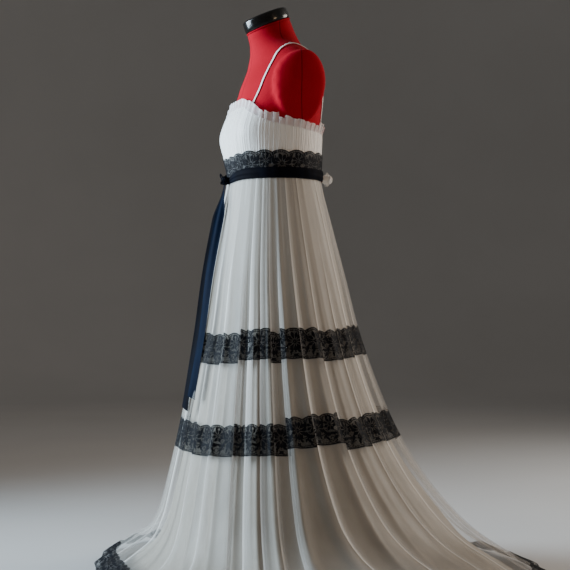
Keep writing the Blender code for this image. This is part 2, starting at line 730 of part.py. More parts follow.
def build_waist_lace():
    """An open band over the gathers from one side of the back opening round to the other."""
    step = 360 / BODICE_GATHERS
    first, last = -BODICE_GATHERS // 4, BODICE_GATHERS // 4
    width = WAIST_LACE["upper"] - WAIST_LACE["lower"]

    def place(column, rise):
        angle = min(max(column * 2 * step, WAIST_LACE["back_gap"] - 180), 180 - WAIST_LACE["back_gap"])
        dip = WAIST_LACE["dip"] * math.exp(-((angle / 30) ** 2))
        height = WAIST_LACE["lower"] + rise - dip * rise / width
        lift = WAIST_LACE["lift"]
        j = math.floor(angle / (2 * step))
        a, b = (gather_ridge(k * 2 * step, height) for k in (j, j + 1))
        out = Vector((math.sin(math.radians(angle)), -math.cos(math.radians(angle)), 0))
        return a.lerp(b, angle / (2 * step) - j) + out * lift

    def gap_width(j):
        return 0.0 if (j - first) % 3 else LEAF_GAP["width"] / (place(j + 1, 0) - place(j, 0)).length

    points, faces = lace_cells(place, first, last, width, gap_width)
    thicken(mesh_object("waist_lace", points, faces, "lace_black"), LACE_WALL, outward=True)


def sash_middle(angle):
    near = math.exp(-(((angle + 180) % 360 - 180) / SASH["knot_spread"]) ** 2)
    return SASH["height"] - SASH["knot_dip"] * near, RIBBON_WIDTH + (SASH["knot_width"] - RIBBON_WIDTH) * near


def build_sash():
    rows = [[], [], []]
    for j in range(SASH["columns"]):
        angle = 360 * j / SASH["columns"]
        middle, width = sash_middle(angle)
        for row, part, swell in zip(rows, (0.5, 0.0, -0.5), (0.0, 0.0008, 0.0)):
            row.append(figure_point(angle, middle + part * width, SASH["ease"] + RIBBON_WALL + swell))
    cloth_wall("sash", rows, RIBBON_WALL, "satin_black", closed=True)


def front_of_sash(angle):
    middle, _ = sash_middle(angle)
    return figure_point(angle, middle, SASH["ease"] + RIBBON_WALL + 0.0008)


def knot_centre():
    return front_of_sash(0) + Vector((0, -KNOT["half_depth"] * KNOT["flat_back"] - SEAM_GAP * 2, 0))


def build_knot():
    """A squeezed knot, flat behind and below, with a groove where the ribbon crosses over itself."""
    bm = bmesh.new()
    bmesh.ops.create_uvsphere(bm, u_segments=12, v_segments=8, radius=1.0)
    centre = knot_centre()
    for v in bm.verts:
        pinch = 1 - 0.22 * math.exp(-((v.co.z / 0.35) ** 2)) + 0.08 * math.cos(3 * math.atan2(v.co.y, v.co.x))
        turn = math.radians(KNOT["twist"]) * v.co.z
        x = (v.co.x * math.cos(turn) - v.co.y * math.sin(turn)) * pinch
        y = min((v.co.x * math.sin(turn) + v.co.y * math.cos(turn)) * pinch, KNOT["flat_back"])
        z = max(v.co.z, -KNOT["flat_foot"])
        v.co = centre + Vector((x * KNOT["half_width"], y * KNOT["half_depth"], z * KNOT["half_height"]))
    mesh = bpy.data.meshes.new("sash_knot")
    bm.to_mesh(mesh)
    bm.free()
    return part_object("sash_knot", mesh, "satin_black")


def build_tail(tail):
    """A free end that leaves the knot's foot and hangs down the front, ending in a slanted cut."""
    side = math.copysign(1, tail.top_angle)
    foot = KNOT["half_height"] * KNOT["flat_foot"] + SEAM_GAP
    root = knot_centre() + Vector((side * TAIL_ROOT["aside"], 0, -foot))
    root_share = TAIL_ROOT["half_width"] / (RIBBON_WIDTH / 2)
    first, second = [], []
    for i in range(TAIL_ROWS):
        t = i / (TAIL_ROWS - 1)
        angle = tail.top_angle + (tail.tip_angle - tail.top_angle) * t
        distance = WAIST_SEAM - root.z + tail.length * t
        place, out = along_drop(drop_line(NET_SKIRT, angle, angle), distance)
        clear = 0.0130 + tail.stand_off * math.sin(math.pi * min(t * 1.15, 1.0)) - 0.002 * t
        place = place + out * clear
        if i == 0:
            shift = root - place
        spread = ramp(0.0, 0.16, t)
        place += shift * (1 - spread)
        turn = math.radians(tail.turn * math.sin(2 * math.pi * t) + tail.turn * 0.4) * spread
        narrow = root_share + (1 - root_share) * spread
        across = Vector((math.cos(turn), math.sin(turn), 0)) * RIBBON_WIDTH / 2 * narrow
        cut = Vector((0, 0, -0.010)) if i == TAIL_ROWS - 1 else Vector()
        first.append(place - across)
        second.append(place + across + cut)
    rows = list(zip(first, second))
    return cloth_wall(tail.name, [list(r) for r in rows], RIBBON_WALL, "satin_black", outward=True)


def build_rosette():
    """A rolled ribbon rose at the centre back: petal lobes that turn as they rise to its middle."""
    back = figure_point(180, ROSETTE["height"], SASH["ease"] + RIBBON_WALL + 0.0008)
    centre = back + Vector((0, SEAM_GAP, 0))
    rows, columns = ROSETTE["rows"], ROSETTE["columns"]
    points = []
    for i in range(rows):
        t = i / (rows - 1)
        size = ROSETTE["radius"] * (0.62, 1.0, 0.96, 0.80, 0.55, 0.22)[i]
        depth = ROSETTE["depth"] * (0.0, 0.22, 0.55, 0.80, 0.97, 0.88)[i]
        for j in range(columns):
            turn = 2 * math.pi * j / columns
            petal = 1 + 0.10 * math.cos(ROSETTE["petals"] * turn + 2.4 * t)
            points.append(centre + Vector((-math.sin(turn) * size * petal, depth, math.cos(turn) * size * petal)))
    faces = grid_faces(rows, columns, True)
    faces.append(tuple(range(columns)))
    faces.append(tuple(reversed(range(len(points) - columns, len(points)))))
    return mesh_object("back_rosette", points, faces, "satin_white")


def shade(items):
    for item in items:
        if item.type == "MESH" and not item.hide_render:
            item.data.shade_smooth()


def main():
    clear_scene()
    for name in ("gown_on_dress_form", "cutters"):
        bpy.context.scene.collection.children.link(bpy.data.collections.new(name))
    torso = build_torso()
    build_cap()
    build_stand()
    build_bodice()
    build_ruffle()
    loft = torso.data
    surface = BVHTree.FromPolygons([v.co for v in loft.vertices], [f.vertices for f in loft.polygons])
    build_strap("strap_left", 1, surface)
    build_strap("strap_right", -1, surface)
    build_skirts()
    build_waist_lace()
    build_sash()
    build_knot()
    for tail in TAILS:
        build_tail(tail)
    build_rosette()
    shade(bpy.data.collections["gown_on_dress_form"].objects)


main()
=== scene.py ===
import math
import random

import bmesh
import bpy
import numpy as np
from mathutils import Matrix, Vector
from mathutils.bvhtree import BVHTree


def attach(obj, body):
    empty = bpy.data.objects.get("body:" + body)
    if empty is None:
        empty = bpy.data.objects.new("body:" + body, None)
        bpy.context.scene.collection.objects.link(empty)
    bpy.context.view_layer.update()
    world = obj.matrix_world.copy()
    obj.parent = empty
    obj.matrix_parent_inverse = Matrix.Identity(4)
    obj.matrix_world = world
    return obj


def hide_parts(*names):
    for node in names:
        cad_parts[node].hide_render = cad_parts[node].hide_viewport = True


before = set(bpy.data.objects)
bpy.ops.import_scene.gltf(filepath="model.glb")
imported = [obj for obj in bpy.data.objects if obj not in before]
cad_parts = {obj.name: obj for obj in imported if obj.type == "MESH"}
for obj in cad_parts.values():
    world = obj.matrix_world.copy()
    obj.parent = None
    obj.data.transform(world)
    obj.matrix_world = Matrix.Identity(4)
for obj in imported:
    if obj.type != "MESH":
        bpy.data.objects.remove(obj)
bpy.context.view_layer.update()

# Empire gown in gathered net, black lace and satin ribbon on a limbless dress form.
# Metres, +Z up, the gown's front faces -Y. Angles in degrees: 0 centre front, 90 its left side.
print("frame loaded")

# Camera and light: level view of the left side, daylight from the front of the gown
studio = {
    "azimuth": 72.0,
    "eye": (3.0520, -0.9622, 0.66),
    "lens": 82.1,
    "shiftY": 0.0439,
    "sensor": 36.0,
    "farthest": 60.0,
    "floorColour": (0.60, 0.59, 0.58),
    "skyColour": (1.0, 0.94, 0.88),
    "skyStrength": 0.15,
}
# Lights: place, target, size, power in watts, colour, spread in degrees
lights = {
    "windowLight": ((-1.05, -2.6, 1.40), (0, 0, 1.10), (1.5, 1.6), 86.0, (0.69, 0.86, 1.0), 92),
    "roomLight": ((3.4, 1.8, 1.6), (0, 0.1, 0.85), (0.9, 0.9), 1.35, (1.0, 0.69, 0.42), 42),
    "backLight": ((-0.2, 3.4, 1.9), (0, 0, 0.8), (1.8, 1.8), 80.0, (1.0, 0.91, 0.81), 180),
}


def addObject(name, data):
    item = bpy.data.objects.new(name, data)
    bpy.context.scene.collection.objects.link(item)
    return item


def areaLight(name, place, target, size, power, colour, spread):
    data = bpy.data.lights.new(name, "AREA")
    data.shape = "RECTANGLE"
    data.size, data.size_y = size
    data.energy, data.color = power, colour
    data.spread = math.radians(spread)
    light = addObject(name, data)
    light.location = place
    light.rotation_euler = (Vector(target) - Vector(place)).to_track_quat("-Z", "Y").to_euler()


def buildStudio():
    data = bpy.data.cameras.new("camera")
    data.lens, data.shift_y = studio["lens"], studio["shiftY"]
    data.sensor_width, data.clip_end = studio["sensor"], studio["farthest"]
    camera = addObject("camera", data)
    camera.location = studio["eye"]
    camera.rotation_euler = (math.radians(90), 0, math.radians(studio["azimuth"]))
    bpy.context.scene.camera = camera
    for name, facts in lights.items():
        areaLight(name, *facts)
    world = bpy.data.worlds.new("studioWorld")
    world.use_nodes = True
    shade = world.node_tree.nodes["Background"]
    shade.inputs["Color"].default_value = (*studio["skyColour"], 1)
    shade.inputs["Strength"].default_value = studio["skyStrength"]
    bpy.context.scene.world = world


buildStudio()
print("studio ready")


# Shader tools
class Wire:
    # A shader socket that Python's operators work on
    def __init__(self, finish, socket):
        self.finish, self.socket = finish, socket

    def between(self, low, high):
        # 0 below low, 1 above high, smooth in the middle
        settings = {"interpolation_type": "SMOOTHSTEP"}
        return self.finish.add("ShaderNodeMapRange", settings, self, low, high, 0.0, 1.0)


def mathsMethod(operation, swapped):
    def method(self, *others):
        values = (*others, self) if swapped else (self, *others)
        return self.finish.add("ShaderNodeMath", {"operation": operation}, *values)

    return method


for methodName, operation in (
    ("__add__", "ADD"), ("__radd__", "ADD"), ("__sub__", "SUBTRACT"), ("__rsub__", "SUBTRACT"),
    ("__mul__", "MULTIPLY"), ("__rmul__", "MULTIPLY"), ("__truediv__", "DIVIDE"), ("__rtruediv__", "DIVIDE"),
    ("__lt__", "LESS_THAN"), ("__gt__", "GREATER_THAN"),
    ("sine", "SINE"), ("size", "ABSOLUTE"), ("fraction", "FRACT"), ("largest", "MAXIMUM"),
):
    setattr(Wire, methodName, mathsMethod(operation, methodName.startswith("__r")))


class Finish:
    # A material with one Principled shader; constants are set on its sockets by name
    def __init__(self, name, **constants):
        self.material = bpy.data.materials.new(name)
        self.material.use_nodes = True
        self.nodes = self.material.node_tree.nodes
        self.links = self.material.node_tree.links
        self.shader = self.nodes["Principled BSDF"]
        for key, value in constants.items():
            self.shader.inputs[socketNames[key]].default_value = value

    def add(self, kind, settings, *values, output=0, numbered=None, **named):
        # One node: its type, its settings, then values or links of its sockets in order, by number or by name
        node = self.nodes.new(kind)
        for key, value in settings.items():
            setattr(node, key, value)
        for key, value in (*enumerate(values), *(numbered or {}).items(), *named.items()):
            if isinstance(value, Wire):
                self.links.new(value.socket, node.inputs[key])
            else:
                node.inputs[key].default_value = value
        return Wire(self, node.outputs[output])

    def drive(self, **wires):
        for key, wire in wires.items():
            self.links.new(wire.socket, self.shader.inputs[socketNames[key]])
        return self.material

    def place(self):
        return self.add("ShaderNodeTexCoord", {}, output="Object")

    def clothPlace(self):
        return self.add("ShaderNodeUVMap", {"uv_map": "cloth"})

    def parts(self, vector):
        node = self.add("ShaderNodeSeparateXYZ", {}, vector).socket.node
        return [Wire(self, socket) for socket in node.outputs]

    def noise(self, vector, scale, detail=2.0, stretch=None):
        if stretch:
            vector = self.add("ShaderNodeVectorMath", {"operation": "MULTIPLY"}, vector, stretch)
        return self.add("ShaderNodeTexNoise", {}, Vector=vector, Scale=scale, Detail=detail)

    def mixed(self, share, first, second):
        first, second = (c if isinstance(c, Wire) else (*c, 1) for c in (first, second))
        sockets = {0: share, 6: first, 7: second}
        return self.add("ShaderNodeMix", {"data_type": "RGBA"}, output=2, numbered=sockets)

    def bump(self, height, strength, distance):
        return self.add("ShaderNodeBump", {}, Height=height, Strength=strength, Distance=distance)


socketNames = {
    "colour": "Base Color",
    "roughness": "Roughness",
    "metallic": "Metallic",
    "coat": "Coat Weight",
    "coatRoughness": "Coat Roughness",
    "sheen": "Sheen Weight",
    "sheenRoughness": "Sheen Roughness",
    "sheenTint": "Sheen Tint",
    "anisotropic": "Anisotropic",
    "specular": "Specular IOR Level",
    "alpha": "Alpha",
    "normal": "Normal",
}


def netFinish(name, colour, shade, low, high, cell, layered):
    # Fine net: threads on a diamond grid of this cell, laid along the cloth, closer at a pleat's edge
    f = Finish(name, roughness=0.62, sheen=0.30, sheenRoughness=0.4, specular=0.20)
    cloth = f.clothPlace()
    across, down, _ = f.parts(cloth)
    first = ((across + down * 0.6) / cell).fraction() - 0.5
    second = ((across - down * 0.6) / cell).fraction() - 0.5
    thread = first.size().largest(second.size()).between(0.30, 0.46)
    cloud = f.noise(cloth, 9.0, 2.0, (6.0, 1.0, 1.0))
    alpha = low + thread * (high - low) + (cloud - 0.5) * 0.14
    tint = f.mixed(cloud.between(0.35, 0.75), colour, shade)
    if layered:
        layeringAndHighlight = f.add("ShaderNodeAttribute", {"attribute_name": "layeringAndHighlight"}, output="Fac")
        alpha = alpha + layeringAndHighlight * 0.62
        # where layers add up the net is also painted whiter: a painted highlight, brightest along the outer
        # fold edge
        tint = f.mixed(layeringAndHighlight.between(0.15, 0.8), tint, (0.97, 0.94, 0.895))
    return f.drive(colour=tint, alpha=alpha, normal=f.bump(thread, 0.25, 0.0003))


def satinFinish(name, colour, shade, roughness, specular, anisotropic, sheen):
    # Satin: long floats across the width, soft cloudy sheen and faint slubs
    grain = 0.0011
    f = Finish(name, specular=specular, anisotropic=anisotropic, sheen=sheen)
    cloth = f.clothPlace()
    across, down, _ = f.parts(cloth)
    floats = (down * (2 * math.pi / grain)).sine() * 0.5 + 0.5
    twill = ((across + down * 0.35) * (2 * math.pi / (grain * 2.3))).sine() * 0.5 + 0.5
    cloud = f.noise(cloth, 14.0, 3.0, (3.0, 1.0, 1.0))
    slub = f.noise(cloth, 220.0, 2.0, (0.12, 1.0, 1.0))
    tint = f.mixed(cloud.between(0.3, 0.75), colour, shade)
    rough = roughness + cloud * 0.10 + slub * 0.06
    height = floats * 0.35 + twill * 0.25 + slub * 0.8 + cloud
    return f.drive(colour=tint, roughness=rough, normal=f.bump(height, 0.18, 0.0004))


def laceThreadFinish():
    # Cordonnet and filled petals: close stitches over a matt black yarn
    f = Finish("laceThread", specular=0.06)
    cloth = f.clothPlace()
    across, down, _ = f.parts(cloth)
    stitch = ((across * 0.8 + down) * (2 * math.pi / 0.0009)).sine() * 0.5 + 0.5
    cross = ((across - down * 0.7) * (2 * math.pi / 0.0014)).sine() * 0.5 + 0.5
    cloud = f.noise(cloth, 60.0, 2.0)
    tint = f.mixed(cloud, (0.003, 0.003, 0.005), (0.009, 0.010, 0.014))
    height = stitch * 0.6 + cross * 0.4
    return f.drive(colour=tint, roughness=0.50 + cloud * 0.2, normal=f.bump(height, 0.5, 0.0003))


def laceGroundFinish():
    # Net ground of the lace: six-sided holes in fine black thread
    f = Finish("laceGround", roughness=0.65, specular=0.04)
    cloth = f.clothPlace()
    settings = {"feature": "DISTANCE_TO_EDGE"}
    edge = f.add("ShaderNodeTexVoronoi", settings, Vector=cloth, Scale=430.0, Randomness=0.25)
    thread = 1.0 - edge.between(0.10, 0.22)
    cloud = f.noise(cloth, 90.0, 1.0)
    tint = f.mixed(cloud, (0.003, 0.003, 0.005), (0.009, 0.010, 0.014))
    return f.drive(colour=tint, alpha=0.24 + thread * 0.60, normal=f.bump(thread, 0.4, 0.0003))


def jerseyFinish():
    # Red jersey cover of the form: fine knit ribs, soft pile and sewn seams
    f = Finish("redJersey", sheen=0.05, sheenRoughness=0.45, specular=0.08, sheenTint=(1.0, 0.2, 0.2, 1))
    place = f.place()
    x, y, z = f.parts(place)
    rib = (x * (2 * math.pi / 0.0019)).sine() * (z * (2 * math.pi / 0.0024)).sine()
    pile = f.noise(place, 900.0, 2.0)
    cloud = f.noise(place, 7.0, 3.0)
    centreSeam = 1.0 - x.size().between(0.0006, 0.0016)
    reach = x.size()
    seamLine = reach.between(0.055, 0.120) * 0.033 - reach.between(0.120, 0.190) * 0.020 - 0.002
    sideSeam = (1.0 - (y - seamLine).size().between(0.0006, 0.0018)) * (reach > 0.040)
    backPrince = reach - 0.070 + (z - 1.15) * (z - 1.15) * 0.6
    backSeam = (1.0 - backPrince.size().between(0.0006, 0.0016)) * (y > 0.05) * (z < 1.25)
    seams = centreSeam.largest(sideSeam).largest(backSeam)
    base = f.mixed(cloud.between(0.3, 0.7), (0.41, 0.002, 0.016), (0.35, 0.002, 0.012))
    tint = f.mixed(seams * 0.72, base, (0.10, 0.001, 0.004))
    height = rib * 0.25 + pile * 0.5 - seams * 2.5
    return f.drive(colour=tint, roughness=0.80 + pile * 0.12, normal=f.bump(height, 0.5, 0.0006))


def capFinish():
    # Glossy moulded cap with fine handling scratches
    f = Finish("capGloss", coat=0.35, coatRoughness=0.08, specular=0.3)
    place = f.place()
    scratch = f.noise(place, 60.0, 5.0, (1.0, 9.0, 4.0))
    dust = f.noise(place, 380.0, 2.0)
    tint = f.mixed(dust.between(0.55, 0.8), (0.003, 0.003, 0.003), (0.008, 0.008, 0.008))
    rough = 0.16 + scratch.between(0.45, 0.75) * 0.14 + dust * 0.05
    return f.drive(colour=tint, roughness=rough, normal=f.bump(scratch, 0.06, 0.0004))


def steelFinish():
    f = Finish("brushedSteel", metallic=0.95, anisotropic=0.5)
    place = f.place()
    brush = f.noise(place, 240.0, 4.0, (1.0, 1.0, 0.03))
    tint = f.mixed(brush, (0.40, 0.40, 0.41), (0.56, 0.56, 0.57))
    return f.drive(colour=tint, roughness=0.26 + brush * 0.18, normal=f.bump(brush, 0.15, 0.0003))


def paintedMetalFinish():
    f = Finish("blackPowderCoat", specular=0.45)
    place = f.place()
    speck = f.noise(place, 700.0, 3.0)
    worn = f.noise(place, 22.0, 3.0).between(0.62, 0.78)
    tint = f.mixed(worn * 0.4, (0.014, 0.014, 0.015), (0.055, 0.055, 0.058))
    return f.drive(colour=tint, roughness=0.42 + speck * 0.16, normal=f.bump(speck, 0.25, 0.0004))


def floorFinish():
    f = Finish("paleFloor", specular=0.25)
    place = f.place()
    cloud = f.noise(place, 1.3, 4.0)
    grit = f.noise(place, 160.0, 2.0)
    low = tuple(c * 0.96 for c in studio["floorColour"])
    tint = f.mixed(cloud.between(0.3, 0.7), studio["floorColour"], low)
    return f.drive(colour=tint, roughness=0.66 + grit * 0.12, normal=f.bump(grit, 0.06, 0.0006))


# Nets: colour, its shade, alpha in the holes and of the thread, cell, and whether folded layers add up, in
# alpha and in a painted highlight
nets = {
    # the skirt net painted grey, darker than the same net at the neck: painted shade
    "overskirtNet": ((0.61, 0.59, 0.56), (0.55, 0.52, 0.48), 0.12, 0.34, 0.0019, True),
    "ruffleNet": ((0.95, 0.91, 0.90), (0.90, 0.84, 0.83), 0.46, 0.74, 0.0017, False),
    "bodiceNet": ((0.97, 0.95, 0.92), (0.92, 0.89, 0.86), 0.46, 0.74, 0.0017, False),
}
# Satins: colour, its shade, roughness, specular, anisotropic, sheen
satins = {
    # the lining's ivory satin, painted far darker than its own colour: painted shade under the net
    "ivorySatinPaintedShade": ((0.36, 0.315, 0.255), (0.30, 0.262, 0.21), 0.44, 0.45, 0.35, 0.15),
    "whiteSatin": ((0.95, 0.94, 0.92), (0.91, 0.89, 0.87), 0.32, 0.5, 0.35, 0.15),
    "blackSatin": ((0.003, 0.003, 0.005), (0.005, 0.006, 0.011), 0.55, 0.015, 0.2, 0.0),
    # the same black ribbon satin tinted navy: a painted navy sheen
    "blackSatinPaintedNavySheen": ((0.002, 0.005, 0.015), (0.003, 0.009, 0.025), 0.55, 0.02, 0.2, 0.0),
}
finishes = {name: netFinish(name, *facts) for name, facts in nets.items()}
finishes.update({name: satinFinish(name, *facts) for name, facts in satins.items()})
for make in (
    laceThreadFinish, laceGroundFinish, jerseyFinish, capFinish, steelFinish, paintedMetalFinish, floorFinish
):
    material = make()
    finishes[material.name] = material
print("finishes ready")


# Curves, tables and meshes
def curveThrough(knots, values):
    # A curve through the knots that never overshoots them
    knots, values = np.asarray(knots, float), np.asarray(values, float)
    spans = np.diff(knots)
    rises = np.diff(values) / spans
    slopes = np.zeros(len(knots))
    slopes[0], slopes[-1] = rises[0], rises[-1]
    for k in range(1, len(rises)):
        before, after = rises[k - 1], rises[k]
        if before * after > 0:
            near, far = spans[k - 1] + 2 * spans[k], 2 * spans[k - 1] + spans[k]
            slopes[k] = (near + far) / (near / before + far / after)

    def read(at):
        at = np.clip(np.asarray(at, float), knots[0], knots[-1])
        k = np.clip(np.searchsorted(knots, at, side="right") - 1, 0, len(spans) - 1)
        t = (at - knots[k]) / spans[k]
        return (
            values[k] * (1 + 2 * t) * (1 - t) ** 2
            + values[k + 1] * t * t * (3 - 2 * t)
            + slopes[k] * spans[k] * t * (1 - t) ** 2
            - slopes[k + 1] * spans[k] * t * t * (1 - t)
        )

    return read


def ramp(start, end, at):
    t = np.clip((np.asarray(at, float) - start) / (end - start), 0.0, 1.0)
    return t * t * (3 - 2 * t)


def powered(value, power):
    return np.sign(value) * np.abs(value) ** power


def aroundZero(angle):
    # The same angle between -180 and 180
    return (np.asarray(angle, float) + 180) % 360 - 180


def arcLength(points):
    # Distance walked from the first point along the first axis
    steps = np.linalg.norm(np.diff(points, axis=0), axis=-1)
    return np.concatenate([np.zeros((1, *steps.shape[1:])), np.cumsum(steps, axis=0)])


def unit(vectors):
    return vectors / (np.linalg.norm(vectors, axis=-1, keepdims=True) + 1e-12)


def gridFaces(rows, columns, closed=False):
    # Rows run downwards and columns to the left, so the faces look outwards
    i, j = np.meshgrid(np.arange(rows - 1), np.arange(columns if closed else columns - 1), indexing="ij")
    a, b = (i * columns + j).ravel(), (i * columns + (j + 1) % columns).ravel()
    return np.stack([a, a + columns, b + columns, b], axis=1)


def gridNormals(points):
    down = np.gradient(points, axis=0)
    around = np.gradient(points, axis=1)
    return unit(np.cross(down, around))


def roundNormals(points):
    # Normals of a grid whose last column meets its first
    wide = np.concatenate([points[:, -1:], points, points[:, :1]], axis=1)
    return gridNormals(wide)[:, 1:-1]


def readSurface(points, normals, column, f):
    # Point and normal at any column, which may pass the last one, and at share f down the rows
    rows, count = points.shape[:2]
    column, f = np.broadcast_arrays(np.asarray(column, float), np.clip(f, 0, 1))
    y = f * (rows - 1)
    j, i = np.floor(column).astype(int), np.minimum(np.floor(y).astype(int), rows - 2)
    s, t = (column - j)[..., None], (y - i)[..., None]
    j, after = j % count, (j + 1) % count
    found = []
    for grid in (points, normals):
        upper = grid[i, j] * (1 - s) + grid[i, after] * s
        lower = grid[i + 1, j] * (1 - s) + grid[i + 1, after] * s
        found.append(upper * (1 - t) + lower * t)
    return found[0], unit(found[1])


def finished(piece, finish):
    piece.data.shade_smooth()
    piece.data.materials.append(finishes[finish])
    return piece


def newPiece(name, points, faces, finish, uv=None):
    points, faces = np.asarray(points, float).reshape(-1, 3), np.asarray(faces)
    mesh = bpy.data.meshes.new(name)
    mesh.vertices.add(len(points))
    mesh.vertices.foreach_set("co", points.astype(np.float32).ravel())
    mesh.loops.add(faces.size)
    mesh.loops.foreach_set("vertex_index", faces.astype(np.int32).ravel())
    mesh.polygons.add(len(faces))
    mesh.polygons.foreach_set("loop_start", np.arange(0, faces.size, faces.shape[1], dtype=np.int32))
    mesh.update(calc_edges=True)
    if uv is not None:
        layer = mesh.uv_layers.new(name="cloth")
        flat = np.asarray(uv, float).reshape(-1, 2)[faces.ravel()]
        layer.data.foreach_set("uv", flat.astype(np.float32).ravel())
    return finished(addObject(name, mesh), finish)


def sheetPiece(name, points, finish, uv=None):
    # An open grid of cloth, with its own lengths as its UV map unless it is given one
    rows, columns = points.shape[:2]
    if uv is None:
        around = np.linalg.norm(np.diff(points, axis=1), axis=-1).mean(axis=0)
        down = np.linalg.norm(np.diff(points, axis=0), axis=-1).mean(axis=1)
        u = np.concatenate([[0], np.cumsum(around)])
        v = np.concatenate([[0], np.cumsum(down)])
        uv = np.stack(np.meshgrid(u, v), axis=-1)
    return newPiece(name, points, gridFaces(rows, columns), finish, uv)


def gridsPiece(name, grids, finish, uv, closed=False):
    # Several grids of one size as one piece
    count, rows, columns = grids.shape[:3]
    starts = np.arange(count)[:, None, None] * rows * columns
    return newPiece(name, grids, (gridFaces(rows, columns, closed) + starts).reshape(-1, 4), finish, uv)


def evaluatedMesh(item):
    # The mesh an object has once its modifiers have run
    bpy.context.view_layer.update()
    ready = item.evaluated_get(bpy.context.evaluated_depsgraph_get())
    return bpy.data.meshes.new_from_object(ready)


def settle(piece, slotName, *nodes):
    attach(piece, "root")
    if nodes:
        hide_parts(*nodes)
    return piece


# The dress form: one row for each level of the figure
# height, half width, front, back, centre, bust, fullness, tilt
figureLevels = np.array((
    (0.600, 0.148, 0.094, 0.110, 0.0, 0.0, 2.2, 0.0),
    (0.640, 0.163, 0.103, 0.124, 0.0, 0.0, 2.2, 0.0),
    (0.710, 0.168, 0.105, 0.129, 0.0, 0.0, 2.2, 0.0),
    (0.790, 0.152, 0.099, 0.115, 0.0, 0.0, 2.2, 0.0),
    (0.860, 0.127, 0.093, 0.098, 0.0, 0.0, 2.2, 0.0),
    (0.920, 0.121, 0.096, 0.098, 0.0, 0.0, 2.0, 0.0),
    (0.985, 0.127, 0.105, 0.107, 0.0, 0.0, 2.0, 0.0),
    (1.035, 0.134, 0.107, 0.108, 0.0, 0.010, 2.05, 0.0),
    (1.085, 0.140, 0.106, 0.108, 0.0, 0.021, 2.1, 0.0),
    (1.125, 0.145, 0.099, 0.110, 0.0, 0.015, 2.1, 0.0),
    (1.160, 0.149, 0.089, 0.115, 0.0, 0.004, 2.1, 0.0),
    (1.200, 0.154, 0.079, 0.118, 0.002, 0.0, 2.0, 0.0),
    (1.235, 0.158, 0.076, 0.107, 0.012, 0.0, 1.9, 0.0),
    (1.262, 0.151, 0.077, 0.088, 0.020, 0.0, 1.75, 0.0),
    (1.284, 0.126, 0.075, 0.066, 0.020, 0.0, 1.7, 1.0),
    (1.302, 0.091, 0.070, 0.054, 0.013, 0.0, 1.8, 4.0),
    (1.318, 0.067, 0.062, 0.053, 0.005, 0.0, 2.0, 9.0),
    (1.336, 0.057, 0.056, 0.053, -0.005, 0.0, 2.0, 16.0),
    (1.358, 0.054, 0.0515, 0.0515, -0.0145, 0.0, 2.0, 22.4),
))
figureCurves = {
    name: curveThrough(figureLevels[:, 0], figureLevels[:, k + 1])
    for k, name in enumerate(("width", "front", "back", "centre", "bust", "fullness", "tilt"))
}
form = {
    "bustAngle": 37.0,
    "bustSpread": 24.0,
    "columns": 120,
    "rows": 110,
    "stubCentre": (0.146, 0.027, 1.198),
    "stubRadii": (0.038, 0.050, 0.076),
    "stubTail": 0.096,
    "voxel": 0.004,
    "smoothing": 14,
}


def figurePoint(angle, height, ease=0.0):
    angle, height = np.broadcast_arrays(np.asarray(angle, float), np.asarray(height, float))
    turn = np.radians(angle)
    read = {name: curve(height) for name, curve in figureCurves.items()}
    power = 2 / read["fullness"]
    side, ahead = powered(np.sin(turn), power), powered(np.cos(turn), power)
    depth = np.where(ahead > 0, read["front"], read["back"])
    lobes = 0
    for centre in (form["bustAngle"], -form["bustAngle"]):
        lobes = lobes + np.exp(-(((aroundZero(angle) - centre) / form["bustSpread"]) ** 2))
    out = ease + read["bust"] * lobes
    x = read["width"] * side + out * np.sin(turn)
    y = -depth * ahead - out * np.cos(turn)
    z = height + y * np.tan(np.radians(read["tilt"]))
    return np.stack([x, y + read["centre"], z], axis=-1)


def closedLoft(rows):
    # A closed tube of rings, top to bottom, as one mesh with flat ends
    count, columns = rows.shape[:2]
    bm = bmesh.new()
    verts = [[bm.verts.new(p) for p in ring] for ring in rows]
    for i in range(count - 1):
        for j in range(columns):
            k = (j + 1) % columns
            bm.faces.new((verts[i][j], verts[i + 1][j], verts[i + 1][k], verts[i][k]))
    bm.faces.new(verts[0])
    bm.faces.new(list(reversed(verts[-1])))
    return bm


def bmeshObject(name, bm):
    mesh = bpy.data.meshes.new(name)
    bm.to_mesh(mesh)
    bm.free()
    return addObject(name, mesh)


def buildTorso():
    top, bottom = figureLevels[-1, 0], figureLevels[0, 0]
    heights = np.linspace(top, bottom, form["rows"])[:, None]
    angles = np.arange(form["columns"])[None, :] * 360 / form["columns"]
    bm = closedLoft(figurePoint(angles, heights))
    centre, radii = form["stubCentre"], form["stubRadii"]
    for side in (1, -1):
        made = bmesh.ops.create_icosphere(bm, subdivisions=4, radius=1.0)
        for v in made["verts"]:
            # flat outer face that thins out downwards and runs into the side
            x, y, z = v.co
            fall = max(0.0, -z)
            reach = math.copysign(abs(x) ** 0.32, x) * (1 - 0.92 * fall**1.1)
            y *= 1 + (0.55 * (1 - abs(x)) ** 3 if y < 0 else 0)
            tall = radii[2] if z > 0 else form["stubTail"]
            v.co = side * centre[0] + reach * radii[0], centre[1] + y * radii[1], centre[2] + z * tall
    piece = bmeshObject("formBody", bm)
    remesh = piece.modifiers.new("oneSkin", "REMESH")
    remesh.mode = "VOXEL"
    remesh.voxel_size = form["voxel"]
    soften = piece.modifiers.new("soften", "SMOOTH")
    soften.factor = 0.5
    soften.iterations = form["smoothing"]
    mesh = evaluatedMesh(piece)
    piece.modifiers.clear()
    piece.data = mesh
    return settle(finished(piece, "redJersey"), "form_red", "form_torso")


